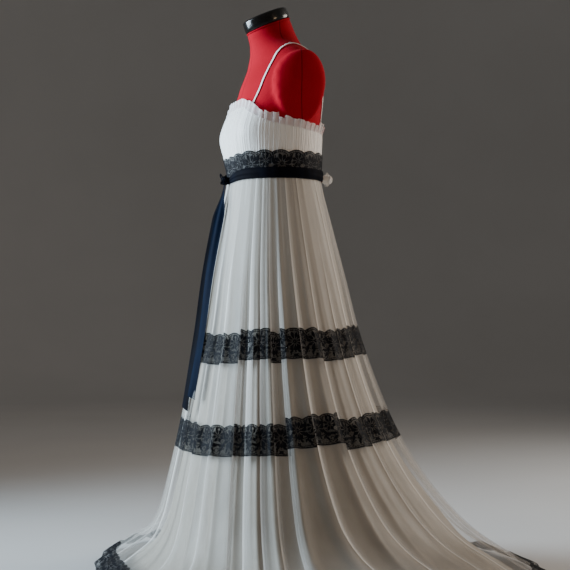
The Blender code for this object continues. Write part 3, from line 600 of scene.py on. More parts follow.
neck = {
    "halfWidth": figureLevels[-1, 1],
    "lean": math.radians(figureLevels[-1, 7]),
    "centre": np.array((0, figureLevels[-1, 4], figureLevels[-1, 0])),
}
neck["halfDepth"] = figureLevels[-1, 2] / math.cos(neck["lean"])
cap = {"thickness": 0.028, "overhang": 0.0015, "rounding": 0.006, "columns": 72, "seat": 0.0006}
piping = {"below": 0.0022, "thickness": 0.0017, "columns": 96}


def neckRing(turn, rise, grow):
    # A ring round the cut of the neck, square to its lean
    up = np.array((0, -math.sin(neck["lean"]), math.cos(neck["lean"])))
    across = (0, math.cos(neck["lean"]), math.sin(neck["lean"]))
    sides = np.outer(np.sin(turn) * (neck["halfWidth"] + grow), (1, 0, 0))
    return neck["centre"] + up * rise + sides - np.outer(np.cos(turn) * (neck["halfDepth"] + grow), across)


def buildCap():
    # The moulded cap on the cut of the neck, leaning forwards with it: rise and growth of each ring
    r = cap["rounding"]
    profile = [(0.0, -0.030), (0.0, -0.002), (0.0006, -0.0006), (0.0016, 0.0), (0.008, 0.0006)]
    for turn in range(0, 91, 10):
        bend = math.radians(turn)
        profile.append((cap["thickness"] - r * (1 - math.sin(bend)), r * (math.cos(bend) - 1)))
    for rise, inset in ((0.0006, 0.010), (0.0014, 0.018), (0.0020, 0.030), (0.0022, 0.044)):
        profile.append((cap["thickness"] + rise, -inset))
    turn = np.arange(cap["columns"]) * 2 * math.pi / cap["columns"]
    rows = [neckRing(turn, cap["seat"] + rise, cap["overhang"] + grow) for rise, grow in reversed(profile)]
    piece = bmeshObject("neckCap", closedLoft(np.array(rows)))
    return settle(finished(piece, "capGloss"), "cap_black", "form_neck_cap")


def buildPiping():
    # The jersey's turned edge, just under the cap
    turn = np.linspace(0, 2 * math.pi, piping["columns"] + 1)
    rows = []
    for bend in np.linspace(0, 2 * math.pi, 9):
        rise = piping["thickness"] * math.cos(bend) - piping["below"]
        rows.append(neckRing(turn, rise, piping["thickness"] * math.sin(bend)))
    return settle(sheetPiece("neckPiping", np.array(rows), "redJersey"), "form_red")


def finishStand():
    for node, finish in (("stand_pole", "brushedSteel"), ("stand_foot", "blackPowderCoat")):
        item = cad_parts[node]
        item.data.materials.clear()
        item.data.materials.append(finishes[finish])


torso = buildTorso()
buildCap()
buildPiping()
finishStand()
print("dress form ready")

# Skirt: one row for each level: height, how far it reaches at the front, side and back, fullness
netLevels = np.array((
    (0.984, 0.1105, 0.1335, 0.1130, 2.0),
    (0.955, 0.1150, 0.1390, 0.1170, 2.0),
    (0.860, 0.1330, 0.1610, 0.1410, 2.0),
    (0.740, 0.1550, 0.1890, 0.1710, 2.0),
    (0.620, 0.1730, 0.2160, 0.1990, 2.0),
    (0.500, 0.1960, 0.2440, 0.2380, 2.0),
    (0.380, 0.2190, 0.2750, 0.2880, 2.0),
    (0.260, 0.2440, 0.3120, 0.3600, 2.05),
    (0.160, 0.2680, 0.3580, 0.4430, 2.1),
    (0.105, 0.2920, 0.4200, 0.4990, 2.2),
    (0.075, 0.3220, 0.4900, 0.5380, 2.3),
    (0.048, 0.3570, 0.5550, 0.5800, 2.3),
    (0.022, 0.3920, 0.6150, 0.6300, 2.3),
    (0.0014, 0.4170, 0.6550, 0.6780, 2.3),
))
liningLevels = np.array((
    (0.984, 0.1085, 0.1310, 0.1110, 2.0),
    (0.955, 0.1110, 0.1350, 0.1130, 2.0),
    (0.860, 0.1240, 0.1520, 0.1320, 2.0),
    (0.740, 0.1430, 0.1770, 0.1590, 2.0),
    (0.620, 0.1590, 0.2020, 0.1850, 2.0),
    (0.500, 0.1790, 0.2270, 0.2200, 2.0),
    (0.380, 0.2000, 0.2560, 0.2670, 2.0),
    (0.260, 0.2230, 0.2900, 0.3360, 2.05),
    (0.160, 0.2440, 0.3300, 0.4150, 2.1),
    (0.095, 0.2650, 0.3900, 0.4680, 2.2),
    (0.050, 0.2920, 0.4700, 0.5280, 2.3),
    (0.022, 0.3220, 0.5350, 0.5720, 2.3),
    (0.0014, 0.3510, 0.5880, 0.6100, 2.3),
))
# The folds: angle at the waist and at the hem, depth, and how far each lace band rides up on it
skirtFolds = np.array((
    (6, 6, 0.010, 0.000, 0.000),
    (18, 19, 0.012, 0.000, 0.002),
    (30, 33, 0.013, -0.003, -0.004),
    (42, 47, 0.010, 0.000, -0.003),
    (53, 60, 0.012, 0.008, 0.000),
    (62, 70, 0.010, 0.010, 0.001),
    (73, 84, 0.014, 0.000, 0.000),
    (82, 97, 0.012, 0.008, 0.016),
    (92, 109, 0.015, 0.006, 0.020),
    (104, 121, 0.011, -0.002, 0.004),
    (118, 134, 0.012, 0.000, 0.009),
    (135, 149, 0.014, 0.004, 0.006),
    (153, 163, 0.011, 0.000, 0.000),
    (171, 175, 0.013, 0.000, 0.000),
    (189, 187, 0.012, 0.005, 0.004),
    (206, 199, 0.014, 0.000, 0.000),
    (223, 212, 0.011, -0.002, 0.003),
    (239, 226, 0.013, 0.000, 0.000),
    (254, 240, 0.012, 0.006, 0.012),
    (267, 254, 0.014, 0.008, 0.010),
    (279, 268, 0.011, 0.000, 0.000),
    (290, 281, 0.013, 0.000, -0.003),
    (301, 294, 0.010, 0.006, 0.004),
    (313, 308, 0.012, 0.000, 0.000),
    (325, 323, 0.010, -0.002, -0.004),
    (337, 337, 0.013, 0.000, 0.000),
    (349, 350, 0.010, 0.000, 0.002),
))
skirt = {
    "perFold": 16,
    "steps": 170,
    "ridgeWidth": 0.17,
    "waistFold": 0.08,
    "leftSeam": 6.22,
    "rightSeam": 19.78,
    "liningFoldShare": 0.45,
    "liningRows": 96,
    "liningPerFold": 15,
    "liningTrough": 0.0022,
    "netRows": 104,
    "pleatSeed": 7,
    "longPleat": (0.0027, 0.0100),
    "shortPleat": (0.0020, 0.0040),
    "weakPleat": 0.65,
    "gatherSpacing": 0.60,
    "gatheredLayer": 0.36,
    "longStand": 0.0014,
    "shortStand": 0.0004,
}
# Pleats that run the whole length, close together or far apart: fold place and strength
longPleats = (
    (0.75, 0.5), (1.95, 0.6), (3.10, 0.6), (3.62, 1.0), (4.47, 0.9), (5.20, 0.8), (5.80, 0.35),
    (7.08, 1.0), (8.40, 1.0), (9.60, 0.6), (10.50, 0.8), (11.45, 0.5), (12.70, 0.9), (13.90, 0.6),
    (14.45, 0.9), (15.80, 0.7), (17.10, 1.0), (17.90, 0.5), (19.25, 0.9), (20.25, 0.6),
    (21.60, 1.0), (22.20, 0.5), (23.30, 0.8), (24.55, 1.0), (25.40, 0.6), (26.30, 0.8),
)
foldCount = len(skirtFolds)


def levelLines(levels, angle):
    # Points down a skirt's levels, row by row; angle(at, last) gives the degrees at each row
    last = len(levels) - 1
    at = np.linspace(0, last, 12 * last + 1)[:, None]
    knots = np.arange(last + 1)
    height, front, side, back, full = (curveThrough(knots, levels[:, m])(at) for m in range(5))
    turn = np.radians(angle(at, last))
    power = 2 / full
    depth = np.where(np.cos(turn) > 0, front, back)
    rows = (side * powered(np.sin(turn), power), -depth * powered(np.cos(turn), power))
    return np.stack([*rows, np.broadcast_to(height, turn.shape)], axis=-1), turn


class SkirtSurface:
    # A skirt's smooth surface, read at any fold place c (0 to 27 round) and share f down its length
    def __init__(self, levels, foldShare):
        n = foldCount * skirt["perFold"]
        c = np.arange(n) / skirt["perFold"]
        k = np.floor(c).astype(int)
        share = c - k
        following = (k + 1) % foldCount
        wrap = np.where(following == 0, 360.0, 0.0)
        here, there = skirtFolds[k], skirtFolds[following]
        top, hem = (here[:, m] + (there[:, m] + wrap - here[:, m]) * share for m in (0, 1))
        line, turn = levelLines(levels, lambda at, last: top + (hem - top) * ramp(0.0, 0.8 * last, at))
        walked = arcLength(line)
        self.lengths = walked[-1]
        self.shares = np.linspace(0, 1, skirt["steps"])
        points = np.zeros((skirt["steps"], n, 3))
        turns = np.zeros((skirt["steps"], n))
        for j in range(n):
            d = self.shares * self.lengths[j]
            for axis in range(3):
                points[:, j, axis] = np.interp(d, walked[:, j], line[:, j, axis])
            turns[:, j] = np.interp(d, walked[:, j], turn[:, j])
        down = unit(np.gradient(points, axis=0))
        around = np.stack([np.cos(turns), np.sin(turns), np.zeros_like(turns)], axis=-1)
        out = unit(np.cross(down, around))
        distance = self.shares[:, None] * self.lengths
        growth = skirt["waistFold"] * ramp(0, 0.02, distance)
        growth = growth + (1 - skirt["waistFold"]) * ramp(0.03, 0.75, distance)
        nearer = np.exp(-((share / skirt["ridgeWidth"]) ** 2)) * here[:, 2]
        farther = np.exp(-(((1 - share) / skirt["ridgeWidth"]) ** 2)) * there[:, 2]
        self.points = points + out * (growth * (nearer + farther) * foldShare)[..., None]
        self.normals = roundNormals(self.points)

    def read(self, c, f):
        return readSurface(self.points, self.normals, np.asarray(c, float) % foldCount * skirt["perFold"], f)

    def length(self, c):
        x = (np.asarray(c, float) % foldCount) * skirt["perFold"]
        j = np.floor(x).astype(int)
        n = len(self.lengths)
        return self.lengths[j % n] * (1 - (x - j)) + self.lengths[(j + 1) % n] * (x - j)


netSurface = SkirtSurface(netLevels, 1.0)
liningSurface = SkirtSurface(liningLevels, skirt["liningFoldShare"])


def buildLining():
    f = np.linspace(0, 1, skirt["liningRows"])[:, None]
    spans = {
        "front": (skirt["rightSeam"], skirt["leftSeam"] + foldCount),
        "back": (skirt["leftSeam"], skirt["rightSeam"]),
    }
    pieces = {}
    for side, (first, last) in spans.items():
        c = np.linspace(first, last, int((last - first) * skirt["liningPerFold"]))[None, :]
        points, normals = liningSurface.read(c, f)
        # long soft troughs, shallower towards the waist
        trough = np.sin(c * 2.1 + 1.3 * f) * np.sin(c * 0.83 + 0.6) + 0.5 * np.sin(c * 5.3 - 2.0 * f)
        deep = skirt["liningTrough"] * (1 + trough * 0.6) * ramp(0.02, 0.5, f) * (1 - ramp(0.9, 1.0, f))
        points = points - normals * deep[..., None]
        # its finish is painted dark, as painted shade under the net
        piece = sheetPiece(f"skirtLining{side.capitalize()}", points, "ivorySatinPaintedShade")
        pieces[side] = settle(piece, "satin_white", f"skirt_lining_{side}")
    return pieces


class PleatedNet:
    # The gathered net: laid-over pleats on the smooth surface; columns run round from c = 0
    def __init__(self):
        q = np.array((-1.0, -0.72, -0.52, -0.38, -0.22, 0.0, 0.22, 0.38, 0.52, 0.72, 1.0))
        # how much the net doubles at each place across a pleat: more opaque there, and painted whiter as a
        # painted highlight, most at the outer fold edge
        doubled = np.array((0.0, 0.0, 0.10, 0.30, 0.22, 0.22, 0.40, 1.0, 0.80, 0.30, 0.08))
        rows = np.linspace(0, 1, skirt["netRows"])
        unitLength = self.unitLength(rows)
        pleats = self.pleatPlaces()
        columns, stands, layers, marks = [], [], [], []
        opening = ramp(0.0, 0.06, rows + 0.02)
        gathered = skirt["gatheredLayer"] * (1 - ramp(0.05, 0.60, rows))
        for k, (centre, strength, end, phase, index) in enumerate(pleats):
            long = strength > 0
            narrow, wide = skirt["longPleat"] if long else skirt["shortPleat"]
            wide = wide * (0.45 + 0.55 * strength) if long else wide
            stand = skirt["longStand"] * (0.7 + 0.3 * strength) if long else skirt["shortStand"]
            width = narrow + (wide - narrow) * ramp(0.0, 0.55, rows)
            lay = 1 - ramp(end - 0.10, end, rows)
            if long and strength < skirt["weakPleat"]:
                # a weak pleat only forms below the gathers
                lay = ramp(0.08, 0.28, rows)
            drift = 0.03 * np.sin(2.2 * rows + phase) * ramp(0.05, 0.5, rows)
            layer = lay * (0.45 + 0.55 * strength if long else 0.20) * (0.45 + 0.55 * ramp(0.02, 0.35, rows))
            span = unitLength[:, min(int(centre), foldCount - 1)]
            for place, share in zip(q, doubled):
                slide = 1.5 * place - lay * 4.0 * math.sin(math.pi * place) / math.pi
                columns.append(centre + drift + width * slide / span)
                stands.append(stand * lay * ramp(-0.62, 0.62, place) * opening)
                layers.append(layer * share + gathered)
                marks.append((index, place if long else None, abs(place) < 0.45))
            following = pleats[(k + 1) % len(pleats)]
            gap = following[0] + (foldCount if k == len(pleats) - 1 else 0) - centre
            for share in (0.36, 0.64):
                columns.append(centre + gap * share + drift * (1 - share))
                stands.append(stand * lay * (1 - share) ** 2 * opening)
                layers.append(gathered)
                marks.append((index, None, False))
        self.c = np.stack(columns, axis=1)
        self.layers = np.stack(layers, axis=1)
        self.marks = marks
        base, smooth = netSurface.read(self.c, rows[:, None])
        self.points = base + smooth * np.stack(stands, axis=1)[..., None]
        self.count = self.points.shape[1]
        self.normals = roundNormals(self.points)
        # shading follows the smooth surface where the cloth doubles back
        core = np.array([mark[2] for mark in marks])[None, :, None]
        self.shading = np.where(core, smooth, self.normals)
        self.lengths = netSurface.length(self.c[skirt["netRows"] // 2])

    def pleatPlaces(self):
        # Long pleats, with short gathers between them that open out below the waist
        dice = random.Random(skirt["pleatSeed"])
        pleats = []
        for index, (centre, strength) in enumerate(longPleats):
            after = longPleats[(index + 1) % len(longPleats)][0]
            after += foldCount if index == len(longPleats) - 1 else 0
            pleats.append((centre, strength, 2.0, dice.uniform(0, 6), index))
            count = max(1, round((after - centre) / skirt["gatherSpacing"])) - 1
            for m in range(count):
                place = centre + (after - centre) * (m + 1) / (count + 1) + dice.uniform(-0.05, 0.05)
                end = dice.choice((0.11, 0.13, 0.16, 0.20, 0.26))
                pleats.append((place, 0.0, end, dice.uniform(0, 6), index))
        return pleats

    def unitLength(self, rows):
        # how long one fold's span is round the skirt, for each row and fold
        spans = []
        for k in range(foldCount):
            points, _ = netSurface.read(np.linspace(k, k + 1, 9)[None, :], rows[:, None])
            spans.append(np.linalg.norm(np.diff(points, axis=1), axis=-1).sum(axis=1))
        return np.stack(spans, axis=1)

    def columnNear(self, c):
        middle = self.c[skirt["netRows"] // 2]
        return int(np.argmin(np.abs(middle - c)))

    def read(self, column, f):
        return readSurface(self.points, self.normals, column, f)


net = PleatedNet()


def buildNetSkirt():
    left, right = net.columnNear(skirt["leftSeam"]), net.columnNear(skirt["rightSeam"])
    pieces = {}
    for side, (first, last) in {"front": (right, left + net.count), "back": (left, right)}.items():
        picked = np.arange(first, last + 1) % net.count
        points = net.points[:, picked]
        piece = sheetPiece(f"netSkirt{side.capitalize()}", points, "overskirtNet")
        layeringAndHighlight = piece.data.attributes.new("layeringAndHighlight", "FLOAT", "POINT")
        layeringAndHighlight.data.foreach_set("value", net.layers[:, picked].astype(np.float32).ravel())
        steps = np.diff(net.c[:, picked], axis=1)
        steps = np.where(steps < -foldCount / 2, steps + foldCount, steps)
        facing = np.where(steps[:-1] + steps[1:] < 0, -1.0, 1.0).ravel()
        corners = net.shading[:, picked].reshape(-1, 3)[gridFaces(*points.shape[:2])] * facing[:, None, None]
        piece.data.normals_split_custom_set(corners.reshape(-1, 3).tolist())
        pieces[side] = settle(piece, "net", f"net_skirt_{side}")
    return pieces


liningPieces = buildLining()
netPieces = buildNetSkirt()
print("skirt ready")

# Lace: one flat repeat of daisies, leaves and scallops, from its lower edge up
lace = {
    "width": 0.074,
    "repeat": 0.076,
    "scallopDepth": 0.0065,
    "petals": 11,
    "daisyRadius": 0.0225,
    "groundLift": 0.0004,
    "threadLift": 0.00055,
    "groundStep": 0.0026,
    "groundRows": 9,
    "groundMargin": 0.0008,
    "hemMargin": 0.0006,
    "liftShift": 0.73,
}


class FlatMotif:
    # Collects flat outlines as small quads, so that they can be laid on the cloth
    def __init__(self):
        self.points, self.faces = [], []

    def band(self, path, width, closed=False):
        # A cord of this width along a path of (across, up) points
        path = np.asarray(path, float)
        ahead = np.roll(path, -1, axis=0) - np.roll(path, 1, axis=0)
        if not closed:
            ahead[0], ahead[-1] = path[1] - path[0], path[-1] - path[-2]
        ahead /= np.linalg.norm(ahead, axis=1, keepdims=True) + 1e-12
        aside = np.stack([-ahead[:, 1], ahead[:, 0]], axis=1)
        widths = np.broadcast_to(width, (len(path),))[:, None] / 2
        start = len(self.points)
        for a, b in zip(path + aside * widths, path - aside * widths):
            self.points += [tuple(a), tuple(b)]
        n = len(path)
        for i in range(n if closed else n - 1):
            j = (i + 1) % n
            self.faces.append((start + 2 * i, start + 2 * i + 1, start + 2 * j + 1, start + 2 * j))

    def leaf(self, root, angle, length, width, bend=0.0, steps=5, peak=0.75):
        # A leaf or petal that leaves its root at this angle and may curl; a high peak is wide at its tip
        t = np.linspace(0, 1, steps + 1)
        turn = math.radians(angle) + math.radians(bend) * t
        ahead = np.stack([np.cos(turn[1:]), np.sin(turn[1:])], axis=1)
        path = np.asarray(root) + np.concatenate([[[0, 0]], np.cumsum(ahead * length / steps, axis=0)])
        shape = np.sin(math.pi * np.clip(t, 0.05, 0.97) ** peak)
        self.band(path, width * shape)

    def circle(self, centre, radius, width, steps=14, squash=1.0):
        turn = np.radians(np.linspace(0, 360, steps + 1))[:-1]
        x, y = centre
        path = np.stack([x + radius * np.cos(turn), y + radius * squash * np.sin(turn)], axis=1)
        self.band(path, width, closed=True)


def polar(centre, radius, turn):
    turn = math.radians(turn)
    return centre[0] + radius * math.cos(turn), centre[1] + radius * math.sin(turn)


def laceRepeat():
    # One repeat as the lace machine would draw it; x runs 0 to the repeat, y up from the lower edge
    m = FlatMotif()
    w, r, deep = lace["repeat"], lace["width"], lace["scallopDepth"]
    daisy, small = (w * 0.30, r * 0.56), (w * 0.80, r * 0.66)
    for k in range(lace["petals"]):
        turn = 360 * k / lace["petals"] + 8
        length = lace["daisyRadius"] * (0.82 + 0.05 * math.sin(2.7 * k))
        bend = 6 * math.sin(1.9 * k)
        m.leaf(polar(daisy, 0.0042, turn), turn, length, 0.0084, bend, steps=6, peak=1.7)
    m.circle(daisy, 0.0030, 0.0034, steps=8)
    for k in range(8):
        turn = 360 * k / 8 + 20
        m.leaf(polar(small, 0.0026, turn), turn, 0.0130, 0.0068, bend=8, steps=5, peak=1.5)
    m.circle(small, 0.0019, 0.0022, steps=6)
    # leaves between the flowers and along the lower edge
    for x, y, angle, length, width, bend in (
        (0.55, 0.60, 100, 0.022, 0.0072, -46),
        (0.56, 0.52, -82, 0.021, 0.0072, 48),
        (0.05, 0.56, 84, 0.021, 0.0070, 42),
        (0.04, 0.46, -96, 0.019, 0.0070, -40),
        (0.60, 0.34, -20, 0.020, 0.0066, 58),
        (0.60, 0.30, -70, 0.016, 0.0060, 40),
        (0.98, 0.36, 198, 0.018, 0.0062, -52),
        (0.97, 0.28, 236, 0.014, 0.0056, -34),
        (0.12, 0.20, 30, 0.016, 0.0058, 40),
        (0.47, 0.20, 150, 0.016, 0.0058, -40),
        (0.22, 0.10, 12, 0.014, 0.0052, 26),
        (0.38, 0.10, 168, 0.014, 0.0052, -26),
        (0.70, 0.84, 30, 0.010, 0.0048, 30),
        (0.90, 0.84, 150, 0.010, 0.0048, -30),
    ):
        m.leaf((w * x, r * y), angle, length, width, bend)
    # a fill of small leaves in the open ground, clear of the flowers and the scroll
    taken = ((0.30, 0.56, lace["daisyRadius"]), (0.80, 0.66, 0.014), (0.79, 0.22, 0.010))
    for k in range(26):
        at = ((0.13 + 0.618 * k) % 1.0, 0.13 + 0.74 * ((0.37 * k) % 1.0))
        if all(math.hypot((at[0] - x) * w, (at[1] - y) * r) > clear for x, y, clear in taken):
            m.leaf((at[0] * w, at[1] * r), 40 + 137 * k, 0.0085, 0.0038, 40, steps=3)
    # scrolls round the open leaf-shaped ground
    m.circle((w * 0.79, r * 0.22), 0.0095, 0.0016, steps=14, squash=1.15)
    m.circle((w * 0.79, r * 0.20), 0.0042, 0.0014, steps=8, squash=1.3)
    for path in (
        ((0.0, 0.36), (0.10, 0.33), (0.20, 0.31), (0.30, 0.30), (0.40, 0.31), (0.50, 0.33), (0.60, 0.36)),
        ((0.60, 0.36), (0.66, 0.42), (0.70, 0.48), (0.74, 0.52), (0.80, 0.55)),
        ((0.80, 0.50), (0.86, 0.48), (0.92, 0.44), (0.96, 0.40), (1.0, 0.36)),
        ((0.52, 0.88), (0.56, 0.80), (0.58, 0.72), (0.57, 0.64), (0.54, 0.58)),
        ((0.02, 0.88), (0.04, 0.80), (0.05, 0.72), (0.05, 0.64), (0.04, 0.56)),
    ):
        m.band([(x * w, y * r) for x, y in path], 0.0017)
    # scalloped upper edge: an outer cord, an inner cord and small bars; a lower cord with picots
    for k in range(2):
        centre = w * (0.25 + 0.5 * k)
        x = np.linspace(-w / 4, w / 4, 15)
        rise = deep * np.cos(x / (w / 4) * math.pi / 2) ** 0.8
        m.band(np.stack([centre + x, r - deep + rise - 0.0011], axis=1), 0.0022)
        m.band(np.stack([centre + x * 0.86, r - deep + rise * 0.9 - 0.0058], axis=1), 0.0015)
        for step in np.linspace(-0.8, 0.8, 7):
            top = r - deep + deep * math.cos(step * math.pi / 2) ** 0.8 - 0.001
            m.band(((centre + step * w / 4, top), (centre + step * w / 4 * 0.86, top - 0.0052)), 0.0012)
    x = np.linspace(0, w, 31)
    m.band(np.stack([x, 0.0016 + 0.0012 * np.abs(np.sin(x / w * 6 * math.pi))], axis=1), 0.0020)
    m.band(np.stack([x, 0.0060 + 0.0008 * np.sin(x / w * 4 * math.pi)], axis=1), 0.0012)
    for k in range(12):
        at = (k + 0.5) * w / 12
        m.band(((at, 0.002), (at + 0.0006, 0.0060)), 0.0010)
    # seeded dots in the ground
    for x, y in (
        (0.10, 0.78), (0.46, 0.80), (0.66, 0.62), (0.95, 0.66), (0.90, 0.56), (0.66, 0.50), (0.68, 0.12),
        (0.90, 0.12), (0.04, 0.26), (0.54, 0.24), (0.30, 0.23), (0.17, 0.40), (0.44, 0.40),
    ):
        m.circle((x * w, y * r), 0.0011, 0.0018, steps=6)
    mesh = bpy.data.meshes.new("laceRepeat")
    mesh.from_pydata([(x, y, 0.0) for x, y in m.points], [], m.faces)
    return addObject("laceRepeat", mesh)


def repeatTree():
    # Geometry Nodes: the flat repeat set out along a line, made real, with its finish
    tree = bpy.data.node_groups.new("laceAlongBand", "GeometryNodeTree")
    sockets = {}
    entries = {"Geometry": "Geometry", "Repeats": "Int", "Repeat Width": "Float", "Finish": "Material"}
    for name, kind in entries.items():
        made = tree.interface.new_socket(name, in_out="INPUT", socket_type=f"NodeSocket{kind}")
        sockets[name] = made.identifier
    tree.interface.new_socket("Geometry", in_out="OUTPUT", socket_type="NodeSocketGeometry")
    kinds = ("NodeGroupInput", "GeometryNodeMeshLine", "ShaderNodeCombineXYZ", "GeometryNodeInstanceOnPoints",
             "GeometryNodeRealizeInstances", "GeometryNodeSetMaterial", "NodeGroupOutput")
    group, line, offset, place, real, paint, end = (tree.nodes.new(kind) for kind in kinds)
    for first, output, second, entry in (
        (group, "Repeats", line, "Count"),
        (group, "Repeat Width", offset, "X"),
        (offset, "Vector", line, "Offset"),
        (line, "Mesh", place, "Points"),
        (group, "Geometry", place, "Instance"),
        (place, "Instances", real, "Geometry"),
        (real, "Geometry", paint, "Geometry"),
        (group, "Finish", paint, "Material"),
        (paint, "Geometry", end, "Geometry"),
    ):
        tree.links.new(first.outputs[output], second.inputs[entry])
    return tree, sockets


laceTree, laceSockets = repeatTree()
flatRepeat = laceRepeat()


def flatLace(length):
    # The motif strip of one band, as points (along, up) and faces, stretched to whole repeats
    count = max(1, round(length / lace["repeat"]))
    item = addObject("laceStrip", flatRepeat.data.copy())
    modifier = item.modifiers.new("laceAlongBand", "NODES")
    modifier.node_group = laceTree
    modifier[laceSockets["Repeats"]] = count
    modifier[laceSockets["Repeat Width"]] = lace["repeat"]
    modifier[laceSockets["Finish"]] = finishes["laceThread"]
    mesh = evaluatedMesh(item)
    points = np.zeros(len(mesh.vertices) * 3)
    mesh.vertices.foreach_get("co", points)
    faces = np.zeros(len(mesh.loops), int)
    mesh.loops.foreach_get("vertex_index", faces)
    bpy.data.objects.remove(item)
    bpy.data.meshes.remove(mesh)
    flat = points.reshape(-1, 3)[:, :2]
    flat[:, 0] *= length / (count * lace["repeat"])
    return flat, faces.reshape(-1, 4), count


def scallopTop(along, pitch):
    # Height of the scalloped upper edge
    phase = (along / pitch * 2) % 1.0 - 0.5
    return lace["width"] - lace["scallopDepth"] * (1 - np.cos(phase * math.pi) ** 0.8)


def layLace(name, length, lay, slotName, nodes, low=0.0, extra=()):
    # lay(along, up, lift) gives points; a net ground and the motif threads on it
    flat, faces, count = flatLace(length)
    pitch = length / count
    along = np.linspace(0, length, int(length / lace["groundStep"]))
    along = np.unique(np.concatenate([along, np.asarray(extra, float)]))
    along = along[np.concatenate([[True], np.diff(along) > 2e-4])]
    share = np.linspace(1, 0, lace["groundRows"])[:, None]
    up = low + (scallopTop(along, pitch)[None, :] - lace["groundMargin"] - low) * share
    grid = lay(np.broadcast_to(along, up.shape), up, lace["groundLift"])
    uv = np.stack([np.broadcast_to(along, up.shape), up], axis=-1)
    ground = settle(sheetPiece(f"{name}Ground", grid, "laceGround", uv), slotName, *nodes)
    kept = flat[faces][:, :, 1].min(axis=1) >= low
    points = lay(flat[:, 0], flat[:, 1], lace["threadLift"])
    used = np.unique(faces[kept])
    index = np.full(len(flat), -1)
    index[used] = np.arange(len(used))
    threads = newPiece(f"{name}Flowers", points[used], index[faces[kept]], "laceThread", flat[used])
    settle(threads, slotName)
    return ground, threads


def buildSkirtBand(name, nodes, start, liftColumn, lift):
    # A band round the whole net skirt that goes into its pleats with it
    first = net.columnNear(skirt["rightSeam"])
    order = np.arange(first, first + net.count + 1)
    wrapped = order % net.count
    hemAngle = np.interp(net.c[-1][wrapped] % foldCount, np.arange(foldCount + 1),
                         np.append(skirtFolds[:, 1], skirtFolds[0, 1] + 360))
    toBack = ramp(60, 180, np.abs(aroundZero(hemAngle)))
    if start is None:
        edge = net.lengths[wrapped] - lace["hemMargin"]
    else:
        steps = np.array([foldLift(net.marks[j], liftColumn) for j in wrapped])
        edge = start[0] + (start[1] - start[0]) * toBack + lace["width"] - steps
    middle = (edge - lace["width"] / 2) / net.lengths[wrapped]
    points, _ = net.read(order, middle)
    walked = arcLength(points)

    def lay(along, up, height):
        column = np.interp(along, walked, order)
        f = (np.interp(column, order, edge) - up) / np.interp(column, order, net.lengths[wrapped])
        place, normal = net.read(column, f)
        return place + normal * height * lift

    return layLace(name, walked[-1], lay, "lace_black", nodes, extra=walked)


def foldLift(mark, column):
    # The lace keeps one height from one long pleat to the next; the step lies inside the pleat
    index, q, _ = mark
    places = [place for place, _ in longPleats]
    heights = []
    for k in (index - 1, index):
        first, after = places[k], places[(k + 1) % len(places)]
        middle = (first + after + (foldCount if after < first else 0)) / 2
        heights.append(skirtFolds[int(middle + lace["liftShift"]) % foldCount, column])
    if q is None:
        return heights[1]
    return heights[0] + (heights[1] - heights[0]) * float(ramp(-0.4, 0.4, q))


# Nodes, place of the upper edge at the front and back, column of the fold table, how far it stands off
bands = {
    "upperLace": (("upper_lace_front", "upper_lace_back"), (0.384, 0.372), 3, 1.0),
    "lowerLace": (("lower_lace_front", "lower_lace_back"), (0.598, 0.592), 4, 1.0),
    "hemLace": (("hem_lace_front", "hem_lace_back"), None, None, 1.6),
}
laceBands = {name: buildSkirtBand(name, *facts) for name, facts in bands.items()}
print("lace bands ready")

# Bodice: satin under gathered net, with the neck edge as angle and height
neckline = curveThrough(
    (0, 20, 34, 48, 64, 90, 120, 180), (1.149, 1.148, 1.134, 1.118, 1.104, 1.094, 1.087, 1.085)
)
bodice = {
    "waist": 0.9843,
    "satinEase": 0.0043,
    "netEase": 0.0054,
    "gathers": 132,
    "gatherDepth": 0.0011,
    "seed": 11,
    "columns": 1320,
    "satinColumns": 361,
    "rows": 26,
    "backOpening": 0.35,
}


def neckHeight(angle):
    return neckline(np.abs(aroundZero(angle)))


def bodiceGrid(columns):
    rows = np.linspace(1, 0, bodice["rows"])[:, None]
    angle = np.linspace(-180 + bodice["backOpening"], 180 - bodice["backOpening"], columns)[None, :]
    return rows, angle, bodice["waist"] + rows * (neckHeight(angle) - bodice["waist"])


def buildBodice():
    rows, angle, height = bodiceGrid(bodice["satinColumns"])
    roll = 0.0008 * np.exp(-(((1 - rows) / 0.03) ** 2))
    points = figurePoint(angle, height, bodice["satinEase"] + roll)
    satin = settle(sheetPiece("bodiceSatin", points, "whiteSatin"), "satin_white",
                   "bodice_front", "bodice_back_left", "bodice_back_right")
    # uneven gathers: each has its own place, depth, drift and reach
    dice = random.Random(bodice["seed"])
    rows, angle, height = bodiceGrid(bodice["columns"])
    ripple = np.zeros((bodice["rows"], bodice["columns"]))
    step = 360 / bodice["gathers"]
    for k in range(bodice["gathers"]):
        centre = -180 + (k + 0.5 + dice.uniform(-0.28, 0.28)) * step
        drift = dice.uniform(-0.5, 0.5) * step
        depth = bodice["gatherDepth"] * dice.uniform(0.45, 1.25)
        wide = step * dice.uniform(0.20, 0.36)
        reach = dice.choice((1.0, 1.0, 0.75, 0.5))
        along = 1 - rows if dice.random() < 0.5 else rows
        fade = 1 - ramp(reach - 0.2, reach, along) if reach < 1 else 1.0
        at = centre + drift * (rows - 0.5)
        ripple += depth * fade * np.exp(-(((angle - at) / wide) ** 2))
    points = figurePoint(angle, height, bodice["netEase"] + ripple)
    veil = settle(sheetPiece("bodiceNet", points, "bodiceNet"), "net")
    return satin, veil


waistLace = {
    "lower": 0.9745,
    "upper": 1.0385,
    "middle": (1.015, 0.0080),
    "dip": 0.008,
    "dipSpread": 30,
    "ease": 0.0079,
    "backGap": 4.0,
    "columns": 721,
}


